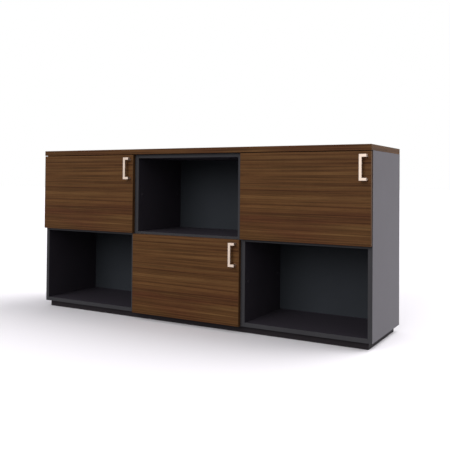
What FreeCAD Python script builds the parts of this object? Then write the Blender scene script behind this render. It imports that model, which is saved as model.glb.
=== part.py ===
import FreeCAD, Part
import os
import Sketcher

# Office credenza: three flat-pack cabinets side by side on one plinth, under one worktop.
# Frame: +Z up, the doors face -Y, +X runs to the right seen from the front.
# Origin: bottom centre of the bounding box, on the floor. All sizes are in millimetres.

doc = FreeCAD.newDocument("office_credenza")
sheet = doc.addObject("Spreadsheet::Sheet", "sizes")

SIZES = (
    # alias, value, what it is
    ("module_width", "600", "outer width of one cabinet"),
    ("carcass_height", "780", "height of a side panel"),
    ("carcass_depth", "415", "depth of a side panel"),
    ("board_thickness", "19", "sides, tops, bottoms and shelves"),
    ("board_arris", "0.6", "chamfer on the edged front of a board"),
    ("lower_bay_height", "361.5", "clear height under the fixed shelf"),
    ("back_thickness", "8", "back panel"),
    ("back_void", "31", "free depth behind the back panel"),
    ("groove_depth", "8", "depth of the groove that holds the back panel"),
    ("groove_clearance", "0.2", "play of the back panel in its groove"),
    ("worktop_thickness", "25", "worktop"),
    ("worktop_round", "1.2", "edge radius of the worktop"),
    ("plinth_height", "30", "plinth"),
    ("plinth_thickness", "16", "plinth boards"),
    ("plinth_recess", "20", "plinth set back from the carcass, all round"),
    ("door_thickness", "18", "door panel"),
    ("door_round", "1.0", "edge radius of a door"),
    ("door_gap", "2", "air between the carcass and the back of a closed door"),
    ("door_reveal", "1.5", "door edge back from the line between two cabinets or two doors"),
    ("door_top_gap", "3", "air between an upper door and the worktop"),
    ("door_bottom_gap", "1", "lower door edge above the bottom of the carcass"),
    ("bumper_radius", "4", "door bumper"),
    ("bumper_inset", "9", "bumper centre in from the door's free edges"),
    ("bumper_clearance", "0.1", "air between a bumper and the carcass"),
    ("handle_height", "108", "pull, overall"),
    ("handle_width", "31", "pull, overall"),
    ("handle_projection", "25", "front of the pull ahead of the door"),
    ("handle_bar", "12", "width of the grip and of the legs"),
    ("handle_plate", "8", "thickness of the grip and of the legs"),
    ("handle_round", "1.2", "edge radius of the pull"),
    ("handle_side_inset", "12.5", "pull in from the door's free edge"),
    ("handle_top_inset", "13", "pull down from the door's upper edge"),
    ("handle_screw_radius", "2", "M4 screw of the pull"),
    ("handle_screw_grip", "10", "length of screw in the pull"),
    ("handle_thread_spare", "2", "bore past the screw's end"),
    ("hinge_inset", "80", "hinge centre from the door's lower and upper edge"),
    ("cup_radius", "17.5", "hinge cup"),
    ("cup_depth", "12.5", "hinge cup in the door"),
    ("cup_wall", "1", "wall and floor of the hinge cup"),
    ("cup_inset", "22.5", "cup centre from the door's hinge edge"),
    ("cup_flange", "0.8", "flange of the cup on the door"),
    ("cup_flange_height", "62", "flange, end to end"),
    ("cup_flange_width", "17", "flange, from the cup centre towards its screws"),
    ("cup_screw_offset", "9.5", "cup screws beyond the cup centre"),
    ("cup_screw_spacing", "45", "between the two screws of a cup"),
    ("cup_pin_offset", "12.4", "cup pin from the cup centre towards the hinge edge"),
    ("cup_pin_depth", "4.8", "cup pin ahead of the door's back face"),
    ("arm_pin_offset", "16.2", "arm pin from the side panel's inner face"),
    ("arm_pin_setback", "2.4", "arm pin behind the front of the carcass"),
    ("crank_offset", "6.1", "crank of the link from the cup centre towards the hinge edge"),
    ("crank_depth", "8.9", "crank of the link ahead of the door's back face"),
    ("pin_radius", "1.25", "hinge pins"),
    ("pin_clearance", "0.05", "running clearance round a hinge pin"),
    ("eye_radius", "2.7", "eye of the link"),
    ("link_half_width", "2.1", "half the width of the link's bar"),
    ("link_half_height", "6", "half the height of the link"),
    ("cheek_clearance", "0.3", "between the link and the arm's cheeks"),
    ("cheek_thickness", "1.5", "cheek of the arm"),
    ("arm_eye_radius", "2.9", "nose of the arm"),
    ("arm_slot_spare", "0.8", "slot behind the link's eye"),
    ("arm_shoulder", "14", "depth where the arm reaches its full height"),
    ("arm_back", "62", "rear end of the arm from the front of the carcass"),
    ("arm_back_height", "12", "rear end of the arm off its side panel"),
    ("plate_line", "37", "line of the mounting plate's screws from the front of the carcass"),
    ("plate_depth", "18", "mounting plate, front to back"),
    ("plate_height", "46", "mounting plate, up and down"),
    ("plate_thickness", "3", "mounting plate"),
    ("plate_screw_spacing", "32", "between the two screws of a plate"),
    ("wood_screw_radius", "2", "particle-board screw"),
    ("wood_screw_clearance", "0.05", "hole round a particle-board screw"),
    ("wood_screw_length", "13", "particle-board screw under its head"),
    ("screw_head_radius", "3.8", "head of a screw"),
    ("screw_head_height", "2", "head of a screw"),
    ("counterbore_clearance", "0.3", "round and over a sunk head"),
    ("dowel_radius", "4", "wooden dowel"),
    ("dowel_length", "30", "wooden dowel"),
    ("dowel_in_side", "12", "length of a dowel in the side panel"),
    ("dowel_clearance", "0.05", "round a dowel"),
    ("dowel_pitch", "32", "dowel behind its cam bolt"),
    ("hole_spare", "0.5", "blind hole past the end of what it holds"),
    ("cam_radius", "7.5", "cam lock"),
    ("cam_height", "12.5", "cam lock"),
    ("cam_distance", "34", "cam centre from the end of its board"),
    ("cam_clearance", "0.1", "round a cam lock"),
    ("bolt_radius", "3", "cam bolt"),
    ("bolt_stub_radius", "2.5", "threaded stub of a cam bolt"),
    ("bolt_stub_length", "11", "threaded stub of a cam bolt"),
    ("bolt_clearance", "0.2", "round a cam bolt in its board"),
    ("bolt_inset", "60", "cam bolt from the front of the carcass and from the back panel"),
    ("sleeve_radius", "4", "sleeve nut that joins two cabinets"),
    ("sleeve_wall", "1", "sleeve nut"),
    ("sleeve_clearance", "0.1", "round a sleeve nut"),
    ("sleeve_length", "30", "sleeve nut in the wood"),
    ("joining_screw_length", "26", "screw of a sleeve nut in the wood"),
    ("joining_head_radius", "6.5", "heads of the sleeve nut and its screw"),
    ("joining_head_height", "2.2", "heads of the sleeve nut and its screw"),
    ("joining_inset", "32", "sleeve nuts from the front of the carcass and from the back panel"),
    ("worktop_screw_inset", "88", "worktop screws in from the inner corners of a cabinet"),
    ("worktop_screw_length", "14", "length of a worktop screw in the worktop"),
    ("bracket_leg", "22", "leg of a plinth bracket"),
    ("bracket_width", "20", "plinth bracket"),
    ("bracket_thickness", "2", "plinth bracket"),
    ("bracket_inset", "110", "bracket centres in from the sides of a cabinet"),
    ("bracket_screw_offset", "13", "bracket screw from the outer corner of its bracket"),
)

for row, (alias, value, meaning) in enumerate(SIZES, start=1):
    sheet.set(f"A{row}", meaning)
    sheet.set(f"B{row}", value)
    sheet.setAlias(f"B{row}", alias)
doc.recompute()


# ---------------------------------------------------------------- expressions that several pieces share

MODULES = ("left", "centre", "right")
# Which compartment of each cabinet is closed by a door.
DOOR_ROW = {"left": "upper", "centre": "lower", "right": "upper"}

CARCASS_FRONT = "(sizes.handle_projection + sizes.door_thickness + sizes.door_gap - sizes.carcass_depth) / 2"
DOOR_BACK = f"({CARCASS_FRONT} - sizes.door_gap)"
DOOR_FRONT = f"({DOOR_BACK} - sizes.door_thickness)"
INNER_WIDTH = "(sizes.module_width - 2 * sizes.board_thickness)"
DOOR_WIDTH = "(sizes.module_width - 2 * sizes.door_reveal)"

# Heights above the bottom of the carcass.
SHELF_BOTTOM = "(sizes.board_thickness + sizes.lower_bay_height)"
SHELF_MIDDLE = f"({SHELF_BOTTOM} + sizes.board_thickness / 2)"
TOP_BOTTOM = "(sizes.carcass_height - sizes.board_thickness)"
LEVELS = {"bottom": "0", "shelf": SHELF_BOTTOM, "top": TOP_BOTTOM}
LEVEL_MIDDLES = tuple(f"({level} + sizes.board_thickness / 2)" for level in LEVELS.values())

# Depths behind the front of the carcass.
BACK_PANEL_FRONT = "(sizes.carcass_depth - sizes.back_void - sizes.back_thickness)"
BOLT_DEPTHS = ("sizes.bolt_inset", f"({BACK_PANEL_FRONT} - sizes.bolt_inset - sizes.dowel_pitch)")
DOWEL_DEPTHS = tuple(f"({depth} + sizes.dowel_pitch)" for depth in BOLT_DEPTHS)
JOINING_DEPTHS = ("sizes.joining_inset", f"({BACK_PANEL_FRONT} - sizes.joining_inset)")
JOINING_HEIGHTS = (
    "(sizes.board_thickness + sizes.lower_bay_height / 2)",
    f"(({SHELF_BOTTOM} + sizes.board_thickness + {TOP_BOTTOM}) / 2)",
)
WORKTOP_SCREW_DEPTHS = ("sizes.worktop_screw_inset", f"({BACK_PANEL_FRONT} - sizes.worktop_screw_inset)")

# Lower and upper edge of a door, above the bottom of the carcass.
DOOR_EDGES = {
    "upper": (f"({SHELF_MIDDLE} + sizes.door_reveal)", "(sizes.carcass_height - sizes.door_top_gap)"),
    "lower": ("sizes.door_bottom_gap", f"({SHELF_MIDDLE} - sizes.door_reveal)"),
}

# Radii of the holes round screws.
WOOD_SCREW_HOLE = "(sizes.wood_screw_radius + sizes.wood_screw_clearance)"
HANDLE_SCREW_HOLE = "(sizes.handle_screw_radius + sizes.wood_screw_clearance)"

# Heights of the arm and of its cheeks, either side of the hinge's middle.
CHEEK_INSIDE = "(sizes.link_half_height + sizes.cheek_clearance)"
CHEEK_OUTSIDE = f"({CHEEK_INSIDE} + sizes.cheek_thickness)"


def module_left(name):
    """Expression for the X of a cabinet's left face."""
    return f"({MODULES.index(name)} - {len(MODULES)} / 2) * sizes.module_width"


def door_height(name):
    """Expression for the height of the door of a cabinet."""
    low, high = DOOR_EDGES[DOOR_ROW[name]]
    return f"({high} - {low})"


def hinge_heights(name):
    """Expressions for the heights of a door's two hinges, above the bottom of the carcass."""
    low, high = DOOR_EDGES[DOOR_ROW[name]]
    return f"({low} + sizes.hinge_inset)", f"({high} - sizes.hinge_inset)"


# ---------------------------------------------------------------- drawing tools

# Direction of a sketch's normal along the row axis it is drawn across.
NORMAL = {"XY_Plane": 1, "XZ_Plane": -1, "YZ_Plane": 1}

# Two points this close, in millimetres, are at the same place.
SAME_PLACE = 0.001


def number(expression):
    """The present value of an expression, for the first guess of a sketch."""
    result = sheet.evalExpression(str(expression))
    return float(getattr(result, "Value", result))


def new_body(label, x="0", y="0", z="0"):
    """A body with its own label, placed by expressions."""
    body = doc.addObject("PartDesign::Body", label)
    body.Label = label
    body.setExpression("Placement.Base.x", x)
    body.setExpression("Placement.Base.y", y)
    body.setExpression("Placement.Base.z", z)
    return body


def origin_feature(body, role):
    """One of a body's own origin planes or axes."""
    return next(feature for feature in body.Origin.OriginFeatures if feature.Role == role)


def new_sketch(body, plane, at="0"):
    """A sketch on one of the body's origin planes, moved to a coordinate along the axis across it."""
    sketch = body.newObject("Sketcher::SketchObject", body.Name + "_sketch")
    sketch.AttachmentSupport = [(origin_feature(body, plane), "")]
    sketch.MapMode = "FlatFace"
    sketch.setExpression("AttachmentOffset.Base.z", at if NORMAL[plane] > 0 else f"-({at})")
    return sketch


def bind(sketch, constraint, expression):
    """Adds a constraint and ties its value to an expression."""
    index = sketch.addConstraint(constraint)
    sketch.setExpression(f"Constraints[{index}]", expression)


def draw_polygon(sketch, points):
    """A closed outline whose corners lie at pairs of expressions."""
    corners = [FreeCAD.Vector(number(across), number(up), 0) for across, up in points]
    first = sketch.GeometryCount
    for index, corner in enumerate(corners):
        following = corners[(index + 1) % len(corners)]
        sketch.addGeometry(Part.LineSegment(corner, following), False)
    for index in range(len(corners)):
        following = (index + 1) % len(corners)
        sketch.addConstraint(Sketcher.Constraint("Coincident", first + index, 2, first + following, 1))
    for index, (across, up) in enumerate(points):
        corner = corners[index]
        bind(sketch, Sketcher.Constraint("DistanceX", -1, 1, first + index, 1, corner.x), across)
        bind(sketch, Sketcher.Constraint("DistanceY", -1, 1, first + index, 1, corner.y), up)


def draw_rectangle(sketch, left, bottom, width, height):
    """A rectangle from its lower left corner and its size."""
    right = f"({left} + {width})"
    top = f"({bottom} + {height})"
    draw_polygon(sketch, [(left, bottom), (right, bottom), (right, top), (left, top)])


def draw_circle(sketch, across, up, radius):
    """A circle from its centre and radius."""
    centre = FreeCAD.Vector(number(across), number(up), 0)
    index = sketch.addGeometry(Part.Circle(centre, FreeCAD.Vector(0, 0, 1), number(radius)), False)
    bind(sketch, Sketcher.Constraint("DistanceX", -1, 1, index, 3, centre.x), across)
    bind(sketch, Sketcher.Constraint("DistanceY", -1, 1, index, 3, centre.y), up)
    bind(sketch, Sketcher.Constraint("Radius", index, number(radius)), radius)


def add_pad(body, sketch, length, direction):
    """Pads a sketch; direction is +1 or -1 along the row axis, or 0 for both ways at once."""
    pad = body.newObject("PartDesign::Pad", body.Name + "_pad")
    pad.Profile = sketch
    pad.setExpression("Length", length)
    pad.Reversed = direction == -NORMAL[plane_of(sketch)]
    pad.Midplane = direction == 0
    body.Tip = pad
    return pad


def add_pocket(body, sketch, length, direction):
    """Cuts a sketch's outline out; direction is as in add_pad."""
    pocket = body.newObject("PartDesign::Pocket", body.Name + "_pocket")
    pocket.Profile = sketch
    pocket.setExpression("Length", length)
    pocket.Reversed = direction == NORMAL[plane_of(sketch)]
    pocket.Midplane = direction == 0
    body.Tip = pocket
    return pocket


def plane_of(sketch):
    """Role of the origin plane that a sketch lies on."""
    return sketch.AttachmentSupport[0][0].Role


def pad_rectangle(body, plane, at, corner, size, length, direction):
    """A rectangular block."""
    sketch = new_sketch(body, plane, at)
    draw_rectangle(sketch, *corner, *size)
    return add_pad(body, sketch, length, direction)


def pad_circles(body, plane, at, centres, radius, length, direction):
    """One round bar for each centre."""
    sketch = new_sketch(body, plane, at)
    for across, up in centres:
        draw_circle(sketch, across, up, radius)
    return add_pad(body, sketch, length, direction)


def cut_rectangle(body, plane, at, corner, size, length, direction):
    """A rectangular recess."""
    sketch = new_sketch(body, plane, at)
    draw_rectangle(sketch, *corner, *size)
    return add_pocket(body, sketch, length, direction)


def cut_circles(body, plane, at, centres, radius, length, direction):
    """One round hole for each centre."""
    sketch = new_sketch(body, plane, at)
    for across, up in centres:
        draw_circle(sketch, across, up, radius)
    return add_pocket(body, sketch, length, direction)


def repeat_body(body, axis, spacing, count):
    """Repeats everything in a body along one of its axes."""
    pattern = body.newObject("PartDesign::LinearPattern", body.Name + "_row")
    pattern.TransformMode = "Whole shape"
    pattern.Direction = (origin_feature(body, axis), [""])
    pattern.Mode = "Spacing"
    pattern.setExpression("Offset", spacing)
    pattern.Occurrences = count
    body.Tip = pattern
    return pattern


def edges_where(feature, test):
    """Names of the edges of a feature whose two ends both pass a test."""
    doc.recompute()
    names = []
    for index, edge in enumerate(feature.Shape.Edges, start=1):
        if all(test(vertex.Point) for vertex in edge.Vertexes):
            names.append(f"Edge{index}")
    return names


def round_edges(body, feature, radius, test):
    """Fillets the edges of a feature that pass a test."""
    fillet = body.newObject("PartDesign::Fillet", body.Name + "_fillet")
    fillet.Base = (feature, edges_where(feature, test))
    fillet.setExpression("Radius", radius)
    body.Tip = fillet
    return fillet


def chamfer_edges(body, feature, size, test):
    """Chamfers the edges of a feature that pass a test."""
    chamfer = body.newObject("PartDesign::Chamfer", body.Name + "_chamfer")
    chamfer.Base = (feature, edges_where(feature, test))
    chamfer.setExpression("Size", size)
    body.Tip = chamfer
    return chamfer


def lies_at_depth(depth):
    """A test for points that share one Y."""
    return lambda point: abs(point.y - depth) < SAME_PLACE


def chamfer_front(body, feature):
    """Breaks the arrises of a board's edged front."""
    return chamfer_edges(body, feature, "sizes.board_arris", lies_at_depth(0))


# ---------------------------------------------------------------- the boards of a cabinet

def make_side(module, hand):
    """A side panel; hand is left or right."""
    at_left = hand == "left"
    left = module_left(module)
    x = left if at_left else f"{left} + sizes.module_width - sizes.board_thickness"
    body = new_body(f"{module}_cabinet_{hand}_side", x, CARCASS_FRONT, "sizes.plinth_height")
    block = pad_rectangle(body, "XY_Plane", "0", ("0", "0"),
                          ("sizes.board_thickness", "sizes.carcass_depth"), "sizes.carcass_height", 1)
    chamfer_front(body, block)
    inner_face = "sizes.board_thickness" if at_left else "0"
    into_board = -1 if at_left else 1
    cut_rectangle(body, "YZ_Plane", inner_face, (BACK_PANEL_FRONT, "0"),
                  ("(sizes.back_thickness + sizes.groove_clearance)", "sizes.carcass_height"),
                  "sizes.groove_depth", into_board)
    cut_circles(body, "YZ_Plane", inner_face, [(y, z) for y in BOLT_DEPTHS for z in LEVEL_MIDDLES],
                "sizes.bolt_stub_radius", "(sizes.bolt_stub_length + sizes.hole_spare)", into_board)
    cut_circles(body, "YZ_Plane", inner_face, [(y, z) for y in DOWEL_DEPTHS for z in LEVEL_MIDDLES],
                "(sizes.dowel_radius + sizes.dowel_clearance)",
                "(sizes.dowel_in_side + sizes.hole_spare)", into_board)
    beside_another = module != MODULES[0] if at_left else module != MODULES[-1]
    if beside_another:
        cut_circles(body, "YZ_Plane", inner_face,
                    [(y, z) for y in JOINING_DEPTHS for z in JOINING_HEIGHTS],
                    "(sizes.sleeve_radius + sizes.sleeve_clearance)", "sizes.board_thickness", into_board)
    if at_left:
        centres = [("sizes.plate_line", f"({height} {sign} sizes.plate_screw_spacing / 2)")
                   for height in hinge_heights(module) for sign in "+-"]
        cut_circles(body, "YZ_Plane", inner_face, centres, WOOD_SCREW_HOLE,
                    "(sizes.wood_screw_length + sizes.hole_spare)", into_board)
    return body


def make_board(module, level):
    """The top, the bottom or the fixed shelf, between the two side panels."""
    label = f"{module}_cabinet_shelf" if level == "shelf" else f"{module}_cabinet_{level}_board"
    body = new_body(label, f"{module_left(module)} + sizes.board_thickness", CARCASS_FRONT,
                    f"sizes.plinth_height + {LEVELS[level]}")
    depth = BACK_PANEL_FRONT if level == "shelf" else "sizes.carcass_depth"
    block = pad_rectangle(body, "XY_Plane", "0", ("0", "0"), (INNER_WIDTH, depth),
                          "sizes.board_thickness", 1)
    chamfer_front(body, block)
    if level != "shelf":
        face = "sizes.board_thickness" if level == "bottom" else "0"
        cut_rectangle(body, "XY_Plane", face, ("0", BACK_PANEL_FRONT),
                      (INNER_WIDTH, "(sizes.back_thickness + sizes.groove_clearance)"),
                      "sizes.groove_depth", -1 if level == "bottom" else 1)
    for end, into_board in (("0", 1), (INNER_WIDTH, -1)):
        cut_circles(body, "YZ_Plane", end, [(y, "(sizes.board_thickness / 2)") for y in BOLT_DEPTHS],
                    "(sizes.bolt_radius + sizes.bolt_clearance)", "sizes.cam_distance", into_board)
        cut_circles(body, "YZ_Plane", end, [(y, "(sizes.board_thickness / 2)") for y in DOWEL_DEPTHS],
                    "(sizes.dowel_radius + sizes.dowel_clearance)",
                    "(sizes.dowel_length - sizes.dowel_in_side + sizes.hole_spare)", into_board)
    cam_columns = ("sizes.cam_distance", f"({INNER_WIDTH} - sizes.cam_distance)")
    cut_circles(body, "XY_Plane", "0", [(x, y) for x in cam_columns for y in BOLT_DEPTHS],
                "(sizes.cam_radius + sizes.cam_clearance)", "(sizes.cam_height + sizes.hole_spare)", 1)
    if level == "top":
        cut_circles(body, "XY_Plane", "0", worktop_screw_places(), WOOD_SCREW_HOLE,
                    "sizes.board_thickness", 1)
    if level == "bottom":
        cut_circles(body, "XY_Plane", "0", bracket_screw_places(), WOOD_SCREW_HOLE,
                    "(sizes.wood_screw_length + sizes.hole_spare)", 1)
    return body


def worktop_screw_places():
    """Worktop screws in the plan of a cabinet's top board."""
    columns = ("sizes.worktop_screw_inset", f"({INNER_WIDTH} - sizes.worktop_screw_inset)")
    return [(x, y) for x in columns for y in WORKTOP_SCREW_DEPTHS]


def bracket_columns():
    """Bracket centres from the left face of a cabinet."""
    return "sizes.bracket_inset", "(sizes.module_width - sizes.bracket_inset)"


def plinth_faces():
    """Inner faces of the plinth's front and back rail, behind the front of the carcass."""
    return ("(sizes.plinth_recess + sizes.plinth_thickness)",
            "(sizes.carcass_depth - sizes.plinth_recess - sizes.plinth_thickness)")


def bracket_screw_places():
    """Upright bracket screws in the plan of a cabinet's bottom board."""
    front, back = plinth_faces()
    rows = (f"({front} + sizes.bracket_screw_offset)", f"({back} - sizes.bracket_screw_offset)")
    return [(f"({x} - sizes.board_thickness)", y) for x in bracket_columns() for y in rows]


def make_back_panel(module):
    """The thin back, held in grooves all round."""
    hidden = "(sizes.groove_depth - sizes.groove_clearance)"
    body = new_body(f"{module}_cabinet_back_panel",
                    f"{module_left(module)} + sizes.board_thickness - {hidden}",
                    f"{CARCASS_FRONT} + {BACK_PANEL_FRONT}",
                    f"sizes.plinth_height + sizes.board_thickness - {hidden}")
    width = f"({INNER_WIDTH} + 2 * {hidden})"
    height = f"({TOP_BOTTOM} - sizes.board_thickness + 2 * {hidden})"
    pad_rectangle(body, "XY_Plane", "0", ("0", "0"), (width, "sizes.back_thickness"), height, 1)
    return body


# ---------------------------------------------------------------- worktop and plinth

def make_worktop():
    """One board over all three cabinets, flush with their ends, their backs and the doors."""
    body = new_body("worktop", module_left("left"), DOOR_FRONT,
                    "sizes.plinth_height + sizes.carcass_height")
    width = f"({len(MODULES)} * sizes.module_width)"
    depth = "(sizes.carcass_depth + sizes.door_gap + sizes.door_thickness)"
    block = pad_rectangle(body, "XY_Plane", "0", ("0", "0"), (width, depth),
                          "sizes.worktop_thickness", 1)
    round_edges(body, block, "sizes.worktop_round", lambda point: True)
    shift = "(sizes.door_gap + sizes.door_thickness)"
    centres = []
    for index in range(len(MODULES)):
        inner_left = f"({index} * sizes.module_width + sizes.board_thickness)"
        centres += [(f"({inner_left} + {x})", f"({shift} + {y})") for x, y in worktop_screw_places()]
    cut_circles(body, "XY_Plane", "0", centres, WOOD_SCREW_HOLE,
                "(sizes.worktop_screw_length + sizes.hole_spare)", 1)
    return body


def make_plinth():
    """Front and back rail, two end rails between them, and two cross rails under the joints."""
    front, back = plinth_faces()
    start = f"{module_left('left')} + sizes.plinth_recess"
    length = f"({len(MODULES)} * sizes.module_width - 2 * sizes.plinth_recess)"
    between = f"({back} - {front})"
    bodies = []
    for label, y in (("plinth_front_rail", f"{CARCASS_FRONT} + sizes.plinth_recess"),
                     ("plinth_back_rail", f"{CARCASS_FRONT} + {back}")):
        body = new_body(label, start, y, "0")
        pad_rectangle(body, "XY_Plane", "0", ("0", "0"), (length, "sizes.plinth_thickness"),
                      "sizes.plinth_height", 1)
        bracket_z = "(sizes.plinth_height - sizes.bracket_screw_offset)"
        centres = [(f"({index} * sizes.module_width + {x} - sizes.plinth_recess)", bracket_z)
                   for index in range(len(MODULES)) for x in bracket_columns()]
        at_front = label == "plinth_front_rail"
        cut_circles(body, "XZ_Plane", "sizes.plinth_thickness" if at_front else "0", centres,
                    WOOD_SCREW_HOLE, "(sizes.wood_screw_length + sizes.hole_spare)", -1 if at_front else 1)
        bodies.append(body)
    for label, x in (("plinth_left_end", "0"),
                     ("plinth_right_end", f"({length} - sizes.plinth_thickness)")):
        body = new_body(label, f"{start} + {x}", f"{CARCASS_FRONT} + {front}", "0")
        pad_rectangle(body, "XY_Plane", "0", ("0", "0"), ("sizes.plinth_thickness", between),
                      "sizes.plinth_height", 1)
        bodies.append(body)
    body = new_body("plinth_cross_rails", f"{module_left('centre')} - sizes.plinth_thickness / 2",
                    f"{CARCASS_FRONT} + {front}", "0")
    pad_rectangle(body, "XY_Plane", "0", ("0", "0"), ("sizes.plinth_thickness", between),
                  "sizes.plinth_height", 1)
    repeat_body(body, "X_Axis", "sizes.module_width", len(MODULES) - 1)
    bodies.append(body)
    return bodies


# ---------------------------------------------------------------- the fittings that hold it together

def make_dowels():
    """Wooden dowels between the boards and the side panels."""
    body = new_body("dowels", module_left("left"), CARCASS_FRONT, "sizes.plinth_height")
    centres = [(y, z) for y in DOWEL_DEPTHS for z in LEVEL_MIDDLES]
    starts = (("(sizes.board_thickness - sizes.dowel_in_side)", 1),
              ("(sizes.module_width - sizes.board_thickness + sizes.dowel_in_side)", -1))
    for start, direction in starts:
        pad_circles(body, "YZ_Plane", start, centres, "sizes.dowel_radius",
                    "sizes.dowel_length", direction)
    repeat_body(body, "X_Axis", "sizes.module_width", len(MODULES))
    return body


def make_cam_bolts():
    """Steel bolts, threaded into a side panel and reaching the cam in the board."""
    body = new_body("cam_bolts", module_left("left"), CARCASS_FRONT, "sizes.plinth_height")
    centres = [(y, z) for y in BOLT_DEPTHS for z in LEVEL_MIDDLES]
    shank = "(sizes.cam_distance - sizes.cam_radius - sizes.cam_clearance)"
    faces = (("sizes.board_thickness", -1), ("(sizes.module_width - sizes.board_thickness)", 1))
    for face, outward in faces:
        pad_circles(body, "YZ_Plane", face, centres, "sizes.bolt_stub_radius",
                    "sizes.bolt_stub_length", outward)
        pad_circles(body, "YZ_Plane", face, centres, "sizes.bolt_radius", shank, -outward)
    repeat_body(body, "X_Axis", "sizes.module_width", len(MODULES))
    return body


def make_cam_locks():
    """Round cams in the undersides of the boards."""
    body = new_body("cam_locks", module_left("left"), CARCASS_FRONT, "sizes.plinth_height")
    columns = ("(sizes.board_thickness + sizes.cam_distance)",
               "(sizes.module_width - sizes.board_thickness - sizes.cam_distance)")
    for level in LEVELS.values():
        pad_circles(body, "XY_Plane", level, [(x, y) for x in columns for y in BOLT_DEPTHS],
                    "sizes.cam_radius", "sizes.cam_height", 1)
    repeat_body(body, "X_Axis", "sizes.module_width", len(MODULES))
    return body


def make_joining_screws():
    """Sleeve nuts and their screws, through the two side panels that stand together."""
    centres = [(y, z) for y in JOINING_DEPTHS for z in JOINING_HEIGHTS]
    joint = module_left("centre")
    nuts = new_body("joining_nuts", joint, CARCASS_FRONT, "sizes.plinth_height")
    pad_circles(nuts, "YZ_Plane", "sizes.board_thickness", centres, "sizes.joining_head_radius",
                "sizes.joining_head_height", 1)
    pad_circles(nuts, "YZ_Plane", "sizes.board_thickness", centres, "sizes.sleeve_radius",
                "sizes.sleeve_length", -1)
    cut_circles(nuts, "YZ_Plane", "(sizes.board_thickness - sizes.sleeve_length)", centres,
                "(sizes.sleeve_radius - sizes.sleeve_wall)",
                "(sizes.sleeve_length - sizes.sleeve_wall)", 1)
    repeat_body(nuts, "X_Axis", "sizes.module_width", len(MODULES) - 1)
    screws = new_body("joining_screws", joint, CARCASS_FRONT, "sizes.plinth_height")
    pad_circles(screws, "YZ_Plane", "-sizes.board_thickness", centres, "sizes.joining_head_radius",
                "sizes.joining_head_height", -1)
    pad_circles(screws, "YZ_Plane", "-sizes.board_thickness", centres,
                "(sizes.sleeve_radius - sizes.sleeve_wall - sizes.sleeve_clearance)",
                "sizes.joining_screw_length", 1)
    repeat_body(screws, "X_Axis", "sizes.module_width", len(MODULES) - 1)
    return [nuts, screws]


def make_worktop_screws():
    """Screws up through the top boards into the worktop."""
    body = new_body("worktop_screws", f"{module_left('left')} + sizes.board_thickness", CARCASS_FRONT,
                    f"sizes.plinth_height + {TOP_BOTTOM}")
    pad_circles(body, "XY_Plane", "0", worktop_screw_places(), "sizes.screw_head_radius",
                "sizes.screw_head_height", -1)
    pad_circles(body, "XY_Plane", "0", worktop_screw_places(), "sizes.wood_screw_radius",
                "(sizes.board_thickness + sizes.worktop_screw_length)", 1)
    repeat_body(body, "X_Axis", "sizes.module_width", len(MODULES))
    return body


def make_plinth_brackets():
    """Steel angles in the corners between the plinth rails and the bottom boards, and their screws."""
    front, back = plinth_faces()
    underside = "sizes.plinth_height"
    brackets = new_body("plinth_brackets", module_left("left"), CARCASS_FRONT, "0")
    screws = new_body("bracket_screws", module_left("left"), CARCASS_FRONT, "0")
    for x in bracket_columns():
        for face, sign in ((front, "+"), (back, "-")):
            sketch = new_sketch(brackets, "YZ_Plane", x)
            draw_polygon(sketch, [
                (face, underside),
                (f"({face} {sign} sizes.bracket_leg)", underside),
                (f"({face} {sign} sizes.bracket_leg)", f"({underside} - sizes.bracket_thickness)"),
                (f"({face} {sign} sizes.bracket_thickness)", f"({underside} - sizes.bracket_thickness)"),
                (f"({face} {sign} sizes.bracket_thickness)", f"({underside} - sizes.bracket_leg)"),
                (face, f"({underside} - sizes.bracket_leg)"),
            ])
            add_pad(brackets, sketch, "sizes.bracket_width", 0)
    upright = [(x, f"({face} {sign} sizes.bracket_screw_offset)")
               for x in bracket_columns() for face, sign in ((front, "+"), (back, "-"))]
    cut_circles(brackets, "XY_Plane", underside, upright, WOOD_SCREW_HOLE, "sizes.bracket_thickness", -1)
    head_level = f"({underside} - sizes.bracket_thickness)"
    pad_circles(screws, "XY_Plane", head_level, upright, "sizes.screw_head_radius",
                "sizes.screw_head_height", -1)
    pad_circles(screws, "XY_Plane", head_level, upright, "sizes.wood_screw_radius",
                "sizes.wood_screw_length", 1)
    level = [(x, f"({underside} - sizes.bracket_screw_offset)") for x in bracket_columns()]
    for face, sign, inward in ((front, "+", 1), (back, "-", -1)):
        cut_circles(brackets, "XZ_Plane", face, level, WOOD_SCREW_HOLE, "sizes.bracket_thickness", inward)
        seat = f"({face} {sign} sizes.bracket_thickness)"
        pad_circles(screws, "XZ_Plane", seat, level, "sizes.screw_head_radius",
                    "sizes.screw_head_height", inward)
        pad_circles(screws, "XZ_Plane", seat, level, "sizes.wood_screw_radius",
                    "sizes.wood_screw_length", -inward)
    for body in (brackets, screws):
        repeat_body(body, "X_Axis", "sizes.module_width", len(MODULES))
    return [brackets, screws]


# ---------------------------------------------------------------- doors and their pulls

def handle_screw_places(module):
    """Screws of the pull, from the door's lower left corner."""
    across = f"({DOOR_WIDTH} - sizes.handle_side_inset - sizes.handle_bar / 2)"
    top = f"({door_height(module)} - sizes.handle_top_inset - sizes.handle_bar / 2)"
    return [(across, top), (across, f"({top} - sizes.handle_height + sizes.handle_bar)")]


def new_door_body(module, label):
    """A body whose origin is the lower left corner of the door's back face."""
    low = DOOR_EDGES[DOOR_ROW[module]][0]
    return new_body(label, f"{module_left(module)} + sizes.door_reveal", DOOR_BACK,
                    f"sizes.plinth_height + {low}")


def door_hinge_heights(module):
    """Heights of the two hinges above the door's lower edge."""
    return "sizes.hinge_inset", f"({door_height(module)} - sizes.hinge_inset)"


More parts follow.
